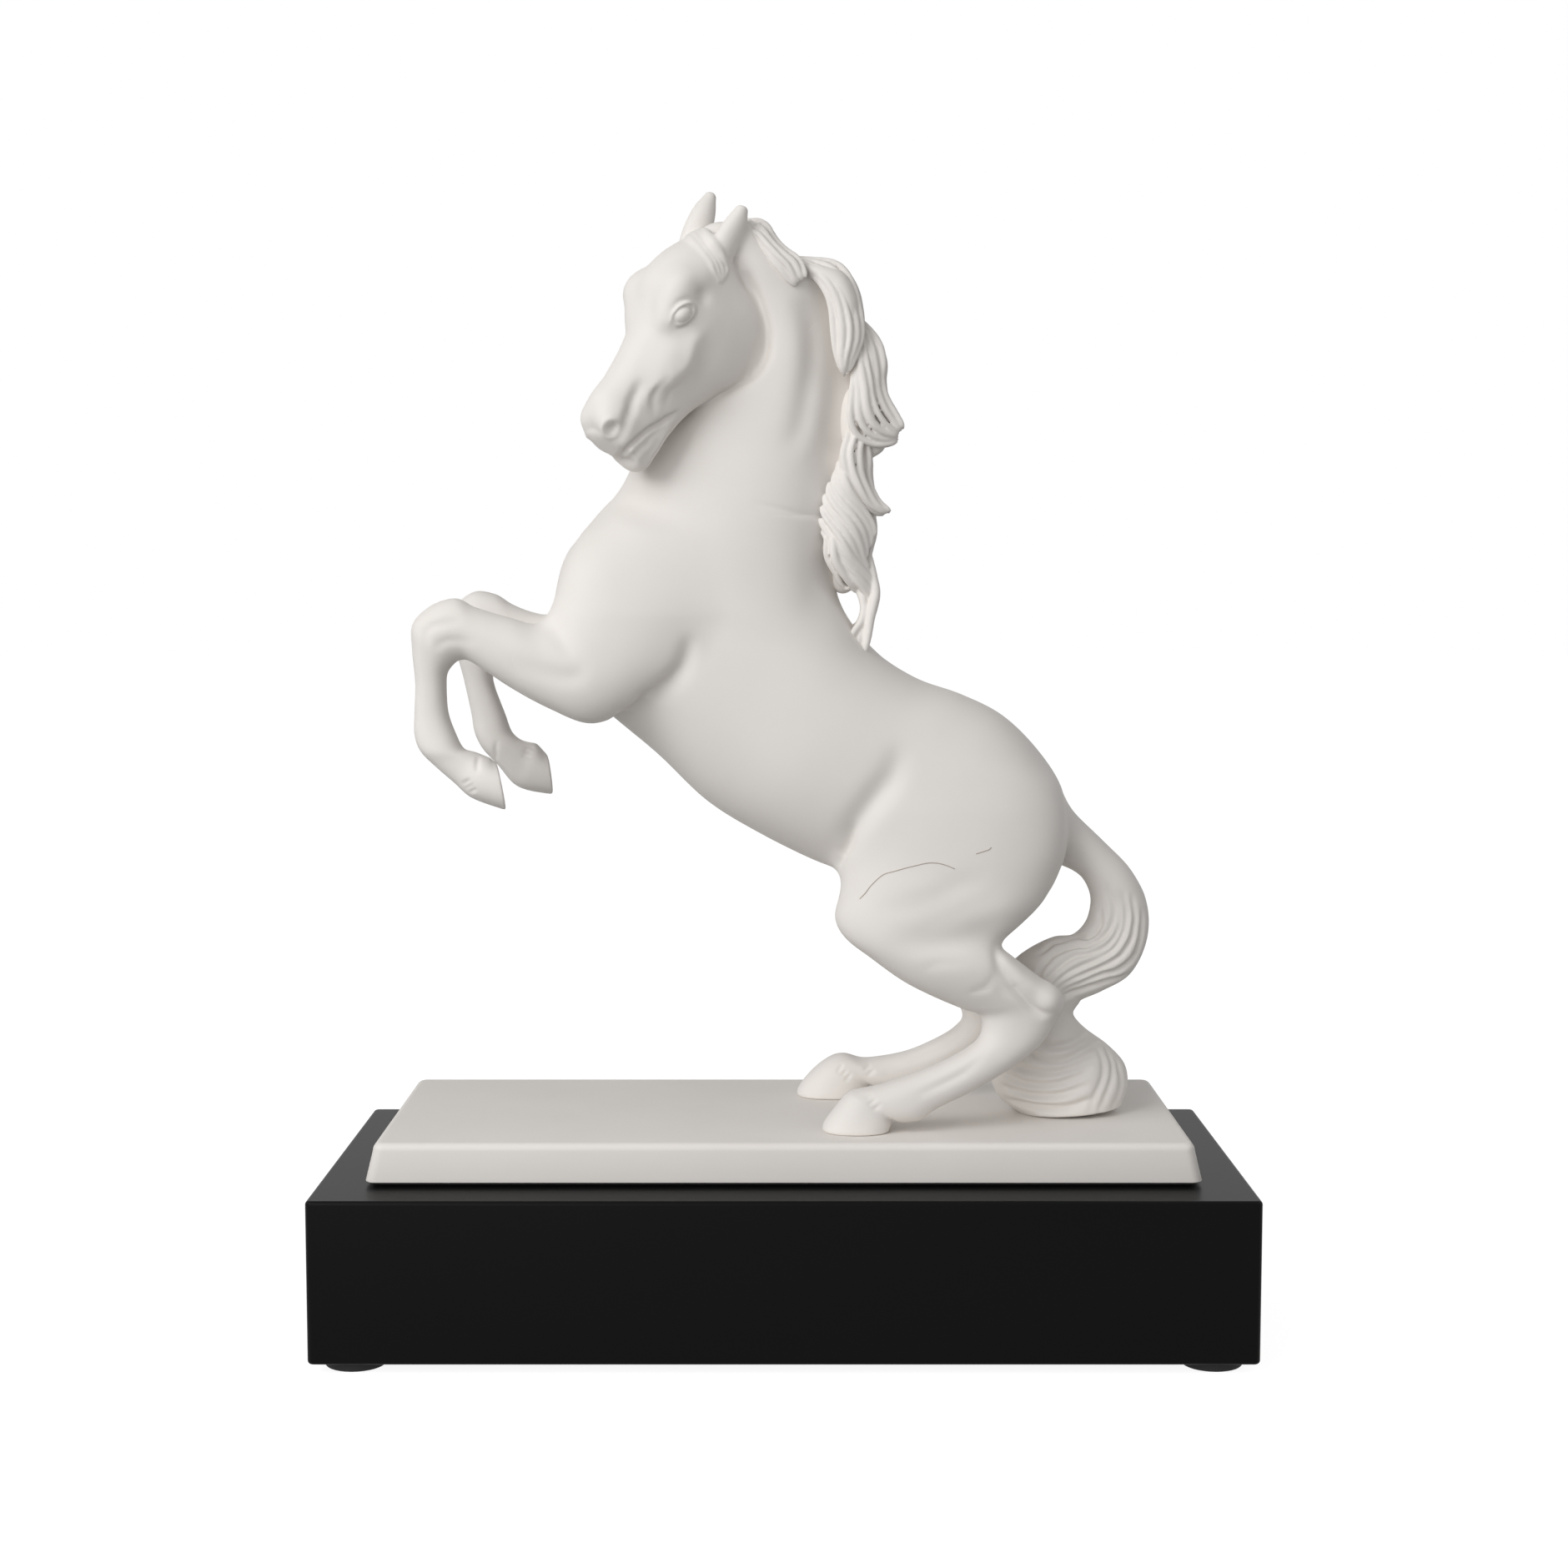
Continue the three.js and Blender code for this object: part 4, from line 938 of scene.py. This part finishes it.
def detail_tail(clay):
    """Hair grooves, lengthwise round the bend and in swags below."""
    rows = curve(TAIL_DOCK, LOFT_STEPS)[BEND_START:]
    middle, reach = spine(rows)
    for way in (-1, 1):
        for turn in BEND_TURNS:
            late = int(6 + 5 * math.sin(7 * turn))
            path = middle + reach * math.cos(turn)
            path[:, 1] += way * rows[:, 5] * math.sin(turn)
            clay.score(path[late:], BEND_WIDTH, BEND_DEPTH)
        for grooves, width, depth in TAIL_GROOVES:
            for groove in grooves:
                clay.score(clay.flank(groove, way), width, depth)


# Locks of the mane: strands, thickness, twist, and x, y and z along the lock's two edges to the tip.
# With a twist, strands start at the second edge one below the other and cross to the first.
MANE_STRANDS = {
    "poll": (4, 0.95, 0, [
        (-15, -8.5, 280.5), (-11.2, -9, 280.8), (-7.8, -10, 280.5), (-5.2, -10.5, 278.9),
        (-2.6, -11, 275.2), (0.7, -12, 271.6), (4.1, -13, 268.6), (6.6, -15, 262.8),
    ], [
        (-15.5, -10.5, 276.4), (-12.4, -12, 276), (-8.4, -13.5, 274.6), (-5.8, -14.5, 271.4),
        (-3.2, -15, 267.8), (-0.4, -15, 265.1), (2.0, -14.5, 262.5), (4.4, -13.8, 260.6),
    ]),
    "crest": (5, 0.95, 0, [
        (4.3, -7, 269.8), (14.5, -7.5, 268.5), (17.8, -8, 266.6), (20.6, -8.5, 263.1),
        (22.4, -9, 259.4), (23.4, -10, 255.1), (24, -11, 250.4), (23.6, -12, 244.8),
        (21.8, -13, 240), (19.7, -13.4, 234.2),
    ], [
        (5.9, -8, 268), (8.3, -10.5, 265), (10.7, -12, 262.6), (12.7, -13, 259),
        (13.9, -13.5, 255.1), (14.8, -13.8, 250.4), (15.7, -14, 245.6), (16.5, -14, 240.8),
        (17.3, -13.8, 236.9), (18.5, -13.2, 233.3),
    ]),
    "middle": (6, 1.0, 0, [
        (23.5, -8.5, 251), (27.8, -7, 245.8), (29.9, -7.5, 242), (31.1, -8, 237.3),
        (30.8, -8.5, 232.5), (31.7, -9, 226.9), (34.1, -9, 222.2), (37.2, -9, 217.4),
    ], [
        (22.5, -8.5, 241), (21, -12, 232.1), (20.4, -12.8, 226.5), (20.6, -13, 221),
        (22.2, -12.5, 216.6), (25, -11.5, 213.8), (29, -10, 212.4), (35.2, -8, 213.4),
    ]),
    "lower_root": (4, 0.95, 0, [
        (25, -8, 219), (25.8, -9, 211), (26.6, -9, 207.5), (26.7, -9, 202.7), (27.6, -9.5, 197.9),
        (29.4, -10, 194.4), (33.2, -10, 191.6),
    ], [
        (21.8, -8, 220), (20, -12, 213.8), (18.6, -13.3, 209.1), (19, -13.3, 203.5),
        (21.4, -12.8, 198), (25.4, -11, 193.6), (31.6, -9, 190.6),
    ]),
    "lower_twist": (9, 0.95, 0.45, [
        (22.6, -10, 205.9), (24.6, -10, 199.5), (26.6, -10, 194), (27.8, -10, 189.2),
        (28, -10, 185.2), (26.9, -9.5, 180.5), (26.1, -9, 176.5), (27.2, -8, 172.5),
        (28.5, -7, 168.6), (28.3, -5.5, 163), (27.3, -4.5, 157),
    ], [
        (18.2, -9.5, 210), (15.4, -13.5, 203.5), (13.7, -13.5, 198), (12.2, -13.5, 192.8),
        (11.4, -13.3, 188), (12.1, -12.8, 183.3), (13.7, -11.5, 178.5), (15.4, -10, 173.5),
        (18.2, -8, 169.6), (21.5, -7, 168),
    ]),
    "hole_side": (3, 1.05, 0, [
        (16, -12, 186), (17.5, -11.5, 180), (20, -10, 174.5), (23, -8, 169.5), (25.5, -6, 166),
    ], [
        (12.6, -11.5, 184), (13.6, -11, 179), (15.2, -9.5, 174), (17.6, -7.5, 169.6),
        (21, -5.5, 167.4),
    ]),
    "hanging_end": (3, 1.25, 0, [
        (26.2, -6, 180), (26.6, -6, 176.5), (27.6, -5, 171.5), (29, -4, 166.5), (28.3, -3, 162),
        (26.8, -2.5, 157), (25.4, -1.5, 151.5), (24.4, 0, 147),
    ], [
        (19, -9, 176), (21.2, -8, 172.5), (23, -6.5, 169.3), (24.6, -5, 165.4), (24.8, -4, 161.5),
        (23.6, -3, 157.5), (21.9, -2, 154.5), (20, 0, 150),
    ]),
}
# Hair under the strands, as place and size of each lump
MANE_LUMPS = {
    "poll_crest": ((-19.0, -6.0, 275.5), (8.0, 5.0, 5.6)),
    "third_lock_root": ((22.0, -3.5, 220.0), (4.5, 4.5, 11.0)),
    "above_the_hole": ((18.6, -1.5, 170.8), (4.0, 3.5, 4.6)),
}
# How far the cores lie within the locks, the plane between near and far face, and a lock's arch
MANE_CORES = (-2.8, -2.3, -2.0, -1.6)
MANE_MIDDLE = -6.5
MANE_CROWN = 2.6
# Shares of the second edge over which a twisted lock's strands start and then run
TWIST_START = 0.62
TWIST_SPAN = 0.38


def even(rows, count):
    """So many places at even distances along a smooth curve."""
    path = curve(rows, STRAND_STEPS)
    far = np.concatenate([[0.0], np.cumsum(np.linalg.norm(np.diff(path, axis=0), axis=1))])
    return np.stack([np.interp(np.linspace(0, far[-1], count), far, line) for line in path.T], axis=1)


def lock_strand(first, last, share, spans, wave):
    """A slightly waved path from one share of a lock's width to another, over a span of each edge."""
    along = np.linspace(0, 1, STRAND_POINTS)
    across = (share[0] + (share[1] - share[0]) * (3 * along**2 - 2 * along**3))[:, None]
    edges = []
    for edge, (begin, end) in zip((first, last), spans):
        spot = (begin + (end - begin) * along) * (len(edge) - 1)
        edges.append(np.stack([np.interp(spot, np.arange(len(edge)), line) for line in edge.T], axis=1))
    path = (1 - across) * edges[0] + across * edges[1]
    path[:, 0] += 0.5 * np.sin(9 * along + wave)
    path[:, 1] += abs(share[0] - share[1]) * 3 * (1 - along) ** 3
    arch = MANE_CROWN * np.sin(np.pi * across[:, 0]) * np.sin(np.pi * along) ** 0.5
    path[:, 1] -= arch + 0.35 * math.cos(2.6 * wave)
    return path, along


def model_mane(clay):
    """Locks of strands over a solid core, tapering to their tips, on the near face and the far one."""
    for lock, grow in zip(MANE_LOCKS, MANE_CORES):
        clay.add(loft(lock, dome=(1.5, 2), grow=grow), 1.5)
    for at, size in MANE_LUMPS.values():
        clay.lump(np.array(at), size, 2)
    for count, thick, twist, first, last in MANE_STRANDS.values():
        first, last = even(first, EDGE_POINTS), even(last, EDGE_POINTS)
        strands = []
        for i, share in enumerate(np.linspace(0, 1, count)):
            if twist:
                begin = share * (1 - twist)
                late = TWIST_START * share
                spans = ((begin, begin + twist), (late, late + TWIST_SPAN))
                path, along = lock_strand(first, last, (1, 0), spans, i)
            else:
                path, along = lock_strand(first, last, (share, share), ((0, 1), (0, 1)), i)
            girth = thick * (1 + 0.2 * math.sin(2.4 * i))
            radii = STRAND_TIP + girth * np.sin(np.pi * (0.15 + 0.7 * along)) ** 0.7
            radii *= np.clip((1 - along) / 0.05, 0.02, 1) ** 0.5
            back = path * [1, -1, 1] + [0, 2 * MANE_MIDDLE, 0]
            strands += [strand(path, radii), strand(back, radii)]
        ridge = first * [1, 0, 1] + [0, MANE_MIDDLE, 0]
        swell = 0.3 + 1.0 * np.sin(np.pi * np.linspace(0.15, 0.9, EDGE_POINTS)) ** 0.7
        strands.append(strand(ridge, swell))
        clay.add(bundle(strands), 0.1)


LACQUER_SLOT, PORCELAIN_SLOT, RUBBER_SLOT = "lacquered_wood", "porcelain", "rubber"


def show(name, mesh, material, slot, *nodes):
    """Puts a finished mesh in the scene in place of the nodes it stands for."""
    mesh.materials.append(material)
    piece = bpy.data.objects.new(name, mesh)
    bpy.context.scene.collection.objects.link(piece)
    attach(piece, "root")
    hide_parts(*nodes)


def fire(name, clay, nodes, *seams):
    """Turns clay into a porcelain piece, cut flat at its seams and shaded by the clay's own slopes."""
    points, quads = clay.surface()
    mesh = bpy.data.meshes.new(name)
    mesh.from_pydata(points, [], quads.tolist())
    form = bmesh.new()
    form.from_mesh(mesh)
    for at, way in seams:
        everything = form.verts[:] + form.edges[:] + form.faces[:]
        cut = bmesh.ops.bisect_plane(form, geom=everything, plane_co=at, plane_no=way, clear_inner=True)
        rim = [edge for edge in cut["geom_cut"] if isinstance(edge, bmesh.types.BMEdge)]
        bmesh.ops.holes_fill(form, edges=rim, sides=0)
    if form.calc_volume(signed=True) < 0:
        bmesh.ops.reverse_faces(form, faces=form.faces[:])
    form.to_mesh(mesh)
    form.free()
    places = np.empty(len(mesh.vertices) * 3)
    mesh.vertices.foreach_get("co", places)
    places = places.reshape(-1, 3)
    slopes = clay.slopes(places)
    mesh.vertices.foreach_set("co", ((places + [0, 0, SLAB_TOP]) * MM).ravel())
    mesh.polygons.foreach_set("use_smooth", np.ones(len(mesh.polygons), bool))
    mesh.normals_split_custom_set_from_vertices(slopes)
    show(name, mesh, BISQUE, PORCELAIN_SLOT, *nodes)


# Materials: colours as on screen, patterns sized in millimetres
def linear(code):
    """A colour written as a hex code, in the linear light the shaders work in."""
    shares = [int(code[i:i + 2], 16) / 255 for i in (1, 3, 5)]
    return tuple(c / 12.92 if c <= 0.04045 else ((c + 0.055) / 1.055) ** 2.4 for c in shares) + (1.0,)


def add(tree, kind, inputs=None, **settings):
    """Adds a node; an input given a socket is linked to it, any other value is set."""
    made = tree.nodes.new(kind)
    for key, value in settings.items():
        setattr(made, key, value)
    for key, value in (inputs or {}).items():
        if isinstance(value, bpy.types.NodeSocket):
            tree.links.new(value, made.inputs[key])
        else:
            made.inputs[key].default_value = value
    return made


def per(size):
    """The scale of a pattern whose marks are so many millimetres across."""
    return 1 / (size * MM)


def blank(name, values):
    """A new material with its shader's values set, its nodes, its shader and the piece's own places."""
    material = bpy.data.materials.new(name)
    material.use_nodes = True
    tree = material.node_tree
    shader = tree.nodes["Principled BSDF"]
    for socket, value in values.items():
        shader.inputs[socket].default_value = value
    return material, tree, shader, add(tree, "ShaderNodeTexCoord").outputs["Object"]


# Grain and tooth are finer than this in life, and are drawn as coarse as they need to be to show
def roughen(tree, shader, place, mark, detail, strength, depth):
    """Gives a surface a fine relief, its marks and their depth in millimetres."""
    marks = add(tree, "ShaderNodeTexNoise", {"Vector": place, "Scale": per(mark), "Detail": detail})
    height = {"Height": marks.outputs["Fac"], "Strength": strength, "Distance": depth * MM}
    relief = add(tree, "ShaderNodeBump", height)
    tree.links.new(relief.outputs["Normal"], shader.inputs["Normal"])


def bisque_porcelain():
    """Unglazed fired porcelain, rubbed smooth by hand: matte, slightly warm, with a powdery grain."""
    values = {"Roughness": 0.62, "Specular IOR Level": 0.35}
    material, tree, shader, place = blank("bisque_porcelain", values)
    drift = add(tree, "ShaderNodeTexNoise", {"Vector": place, "Scale": per(35), "Detail": 3})
    tones = {"Factor": drift.outputs["Fac"], 6: linear("#EDE9E5"), 7: linear("#E6E1DB")}
    tone = add(tree, "ShaderNodeMix", tones, data_type="RGBA")
    tree.links.new(tone.outputs[2], shader.inputs["Base Color"])
    roughen(tree, shader, place, mark=0.5, detail=4, strength=0.15, depth=0.1)
    return material


def black_lacquer():
    """Sprayed and rubbed satin lacquer: black, with a soft even sheen and the least orange peel."""
    values = {"Base Color": linear("#0D0D0D"), "Roughness": 0.36, "Specular IOR Level": 0.06}
    material, tree, shader, place = blank("black_lacquer", values)
    roughen(tree, shader, place, mark=2.5, detail=2, strength=0.1, depth=0.05)
    return material


def plain(name, code, roughness, metallic, mark, strength):
    """A surface of one colour with a fine tooth of the given size."""
    values = {"Base Color": linear(code), "Roughness": roughness, "Metallic": metallic}
    material, tree, shader, place = blank(name, values)
    roughen(tree, shader, place, mark, detail=4, strength=strength, depth=0.1)
    return material


BISQUE = bisque_porcelain()
LACQUER = black_lacquer()
# A crack from the firing, drawn as a matte line, darker and a little browner than the porcelain
HAIRLINE = plain("stained_hairline", "#B9AFA6", 0.8, 0.0, 0.5, 0.2)
# Rubber from a matt mould: grey-black, with hardly any shine
RUBBER = plain("moulded_rubber", "#161616", 0.8, 0.0, 0.4, 0.4)
# Wool pressed into a sheet: black, fibrous and without gloss. Its black is partly painted shade: under
# the slab's edge it stands for the shadow line there
FELT_AND_PAINTED_SHADE = plain("pressed_wool_felt", "#1B1B1C", 0.95, 0.0, 0.3, 1.0)
# Steel plated in a zinc bath: grey metal, half bright and slightly cloudy
STEEL = plain("zinc_plated_steel", "#9A9C9F", 0.35, 1.0, 0.8, 0.2)
# Brass turned from bar: warm yellow metal, its brightness softened by the tool's marks
BRASS = plain("turned_brass", "#B08D4A", 0.35, 1.0, 0.5, 0.2)

# Body of the figure, sunk under the finer pieces at their seams
LEGS = ["left_foreleg", "right_foreleg", "left_hind_leg", "right_hind_leg"]
TUCKS = {
    "neck": ((-95, -42, 150), (122, 42, 212)),
    "left_foreleg": ((-95, -42, 100), (-70, 0, 180)),
    "right_foreleg": ((-95, 0, 100), (-70, 42, 180)),
    "left_hind_leg": ((30, -42, 30), (102, -12, 55)),
    "right_hind_leg": ((30, 12, 30), (102, 42, 52)),
    "tail": ((87, -14, 58), (122, 14, 106)),
}
body = Clay((-95, -42, 30), (122, 42, 212), BODY_CELL, BODY_BAND)
model_horse(body)
for seam, box in TUCKS.items():
    body.tuck(*box, *SEAMS[seam])
fire("horse_body", body, ["trunk_casting", "neck_casting", *LEGS])

# Firing cracks on the left thigh: x and z along each
HAIRLINES = [
    [(23.7, 72.8), (25.7, 75.5), (30.7, 80.6), (35.4, 82.1), (40.8, 83.7), (45.5, 84.5),
     (50.1, 83.5), (53.2, 82.1)],
    [(58.7, 87.2), (61, 87.9), (62.6, 88.4), (63.7, 89.5)],
]
HAIRLINE_RADIUS = 0.16
for i, line in enumerate(HAIRLINES):
    path = even(body.settled(body.flank(line, -1))[::2], STRAND_POINTS)
    points, quads, fans = strand(body.settled(path), np.full(STRAND_POINTS, HAIRLINE_RADIUS))
    mesh = bpy.data.meshes.new(f"hairline_{i + 1}")
    mesh.from_pydata((points + [0, 0, SLAB_TOP]) * MM, [], quads.tolist() + fans.tolist())
    show(f"hairline_{i + 1}", mesh, HAIRLINE, PORCELAIN_SLOT, "left_hind_leg")

# Neck, sunk in turn under the head
NECK_BLOCK = ((-60, -42, 178), (36, 34, 280))
neck = Clay(*NECK_BLOCK, NECK_CELL, HEAD_BAND)
model_horse(neck)
neck.tuck(*NECK_BLOCK, *SEAMS["head"])
fire("horse_neck", neck, ["neck_casting"], SEAMS["neck"])

HEAD_NODES = ["head_casting", "neck_casting", "left_ear", "right_ear", "forelock"]
head = Clay((-72, -48, 178), (36, 26, 296), HEAD_CELL, HEAD_BAND)
model_horse(head)
fire("horse_head", head, HEAD_NODES, SEAMS["neck"], SEAMS["head"])

# Lower legs, from knee and hock down
LEG_BLOCKS = [
    ((-118, -42, 98), (-70, -10, 180)),
    ((-118, 10, 98), (-70, 42, 180)),
    ((4, -42, -2), (94, -12, 56)),
    ((-2, 12, -2), (94, 42, 52)),
]
for name, (low, high) in zip(LEGS, LEG_BLOCKS):
    leg = Clay(low, high, LEG_CELL, LEG_BAND)
    model_horse(leg)
    fire(f"horse_{name}", leg, [name], SEAMS[name])

tail = Clay((62, -18, -2), (120, 18, 108), LEG_CELL, LEG_BAND)
tail.add(loft(TRUNK, dome=(3, 2), square=TRUNK_SQUARE))
tail.add(loft(TAIL_DOCK, dome=(0, 3)), tail_fillet)
tail.soften()
tail.add(loft(TAIL_CURL, dome=(0, 1)), 2)
detail_tail(tail)
fire("horse_tail", tail, ["tail_dock", "tail_curl"], SEAMS["tail"])

mane = Clay((-32, -24, 140), (42, 10, 288), HAIR_CELL, HAIR_BAND)
model_mane(mane)
fire("horse_mane", mane, ["mane_poll_lock", "mane_upper_lock", "mane_middle_lock", "mane_lower_lock"])

# Slab, base and feet, built in layers of rounded rectangles
CORNER_STEPS = 8
EDGE_STEPS = 8
LEAST_CORNER = 0.2
# Corner, upper edge and lower edge of each, in millimetres, and how far the slab's sides lean in
SLAB_ROUNDING = (3.5, 2.4, 0.4)
SLAB_DRAFT = (2.2, 0.6)
BASE_ROUNDING = (2.0, 1.2, 1.2)
PAD_EDGES = (0.3, 0.6)
PAD_FLAT = 0.05


def block(name, material, slot, nodes, low, high, corner, top_edge, bottom_edge, draft=(0, 0)):
    """A block with rounded corners and edges; draft leans its sides in to the top, along x and y."""
    middle = [(low[i] + high[i]) / 2 for i in range(2)]
    half = [(high[i] - low[i]) / 2 for i in range(2)]
    turns = [k / EDGE_STEPS * math.pi / 2 for k in range(EDGE_STEPS + 1)]
    rounding = [(1 - math.sin(turn), 1 - math.cos(turn)) for turn in turns]
    layers = [(low[2] + bottom_edge * rise, bottom_edge * inset, 0) for rise, inset in rounding[::-1]]
    layers += [(high[2] - top_edge * rise, top_edge * inset, 1) for rise, inset in rounding]
    rings = []
    for z, inset, lean in layers:
        radius = max(corner - inset, LEAST_CORNER)
        reach = [half[i] - lean * draft[i] - inset - radius for i in range(2)]
        ring = []
        for sx, sy, quarter in ((1, 1, 0), (-1, 1, 1), (-1, -1, 2), (1, -1, 3)):
            for k in range(CORNER_STEPS + 1):
                angle = (quarter + k / CORNER_STEPS) * math.pi / 2
                x = middle[0] + sx * reach[0] + radius * math.cos(angle)
                y = middle[1] + sy * reach[1] + radius * math.sin(angle)
                ring.append((x, y, z))
        rings.append(ring)
    form = bmesh.new()
    loops = [[form.verts.new(Vector(place) * MM) for place in ring] for ring in rings]
    for below, above in zip(loops[:-1], loops[1:]):
        for j in range(len(below)):
            k = (j + 1) % len(below)
            form.faces.new((below[j], below[k], above[k], above[j]))
    form.faces.new(loops[-1])
    form.faces.new(loops[0][::-1])
    mesh = bpy.data.meshes.new(name)
    form.to_mesh(mesh)
    form.free()
    mesh.polygons.foreach_set("use_smooth", [len(face.vertices) == 4 for face in mesh.polygons])
    show(name, mesh, material, slot, *nodes)


def corners(node):
    """A node's lower and upper corner in millimetres."""
    low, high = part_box(node)
    return [v / MM for v in low], [v / MM for v in high]


slab_low, slab_high = corners("porcelain_slab")
SLAB_NODES = ["porcelain_slab"]
block("slab", BISQUE, PORCELAIN_SLOT, SLAB_NODES, slab_low, slab_high, *SLAB_ROUNDING, SLAB_DRAFT)
base_low, base_high = corners("base_bottom_board")[0], corners("base_top_board")[1]
BOARDS = [
    f"base_{board}"
    for board in ("top_board", "front_rail", "back_rail", "left_end", "right_end", "bottom_board")
]
block("base", LACQUER, LACQUER_SLOT, BOARDS, base_low, base_high, *BASE_ROUNDING)

for place in ("front_left", "front_right", "back_left", "back_right"):
    foot_low, foot_high = corners(f"foot_{place}")
    radius = (foot_high[0] - foot_low[0]) / 2 - PAD_FLAT
    nodes = [f"foot_{place}"]
    block(f"pad_{place}", RUBBER, RUBBER_SLOT, nodes, foot_low, foot_high, radius, *PAD_EDGES)

# The rest keeps its own shape and gets its material
FINISHES = {
    # The bedding felt's black is partly painted shade, for the shadow line under the slab
    "bedding_": FELT_AND_PAINTED_SHADE,
    "slab_insert": BRASS,
    "slab_washer": STEEL,
    "slab_bolt": STEEL,
    "bottom_screw": STEEL,
}
for piece in bpy.data.objects:
    for start, finish in FINISHES.items():
        if piece.type == "MESH" and piece.name.startswith(start):
            piece.data.materials.clear()
            piece.data.materials.append(finish)


def background_rays(tree):
    """One for the rays that see the background straight, mirrored or through something clear."""
    rays = add(tree, "ShaderNodeLightPath").outputs
    seen = rays["Is Camera Ray"]
    for ray in ("Is Glossy Ray", "Is Transmission Ray"):
        seen = add(tree, "ShaderNodeMath", {0: seen, 1: rays[ray]}, operation="MAXIMUM").outputs[0]
    return seen


# Floor: paper that reads as white where it is seen, and gives little light back to the figure
FLOOR_REACH = 6.0
FLOOR_GLOW = 0.9
WORLD_LIGHT = 0.27
floor_mesh = bpy.data.meshes.new("floor")
floor_corners = [(x * FLOOR_REACH, y * FLOOR_REACH, 0) for x, y in ((-1, -1), (1, -1), (1, 1), (-1, 1))]
floor_mesh.from_pydata(floor_corners, [], [(0, 1, 2, 3)])
floor = bpy.data.objects.new("floor", floor_mesh)
bpy.context.scene.collection.objects.link(floor)
values = {"Base Color": linear("#8C8C8C"), "Roughness": 0.9, "Emission Color": (1, 1, 1, 1)}
paper, tree, shader, _ = blank("white_paper", values)
glow = add(tree, "ShaderNodeMath", {0: background_rays(tree), 1: FLOOR_GLOW}, operation="MULTIPLY")
tree.links.new(glow.outputs[0], shader.inputs["Emission Strength"])
floor_mesh.materials.append(paper)

# World, lamps and camera
world = bpy.data.worlds.new("studio")
bpy.context.scene.world = world
world.use_nodes = True
tree = world.node_tree
shades = {"Value": background_rays(tree), "To Min": WORLD_LIGHT, "To Max": 1.0}
level = add(tree, "ShaderNodeMapRange", shades)
tree.links.new(level.outputs["Result"], tree.nodes["Background"].inputs["Strength"])
tree.nodes["Background"].inputs["Color"].default_value = (1, 1, 1, 1)


# Square soft boxes that look at the figure's middle: place in metres, and watts
LAMP_AIM = Vector((0, 0, 0.2))
LAMP_SIZE = 0.8
LAMPS = {
    "key": (Vector((-0.8, -0.8, 0.85)), 9.8),
    "front": (Vector((-0.44, -1.22, 0.31)), 4.0),
    "side": (Vector((1.06, -0.39, 0.85)), 2.0),
}
for name, (place, watts) in LAMPS.items():
    lamp = bpy.data.lights.new(name, "AREA")
    lamp.size = LAMP_SIZE
    lamp.energy = watts
    light = bpy.data.objects.new(name, lamp)
    light.location = place
    light.rotation_euler = (LAMP_AIM - place).to_track_quat("-Z", "Y").to_euler()
    bpy.context.scene.collection.objects.link(light)

# The photograph's view, fitted to the corners of the base: metres and degrees
CAMERA_PLACE = (0.00004, -0.78679, 0.24009)
CAMERA_PITCH = 4.95
lens = bpy.data.cameras.new("camera")
lens.sensor_width = 36.0
lens.lens = 56.96
camera = bpy.data.objects.new("camera", lens)
camera.location = CAMERA_PLACE
camera.rotation_euler = (math.radians(90 - CAMERA_PITCH), 0, 0)
bpy.context.scene.collection.objects.link(camera)
bpy.context.scene.camera = camera
bpy.context.scene.view_settings.view_transform = "Standard"
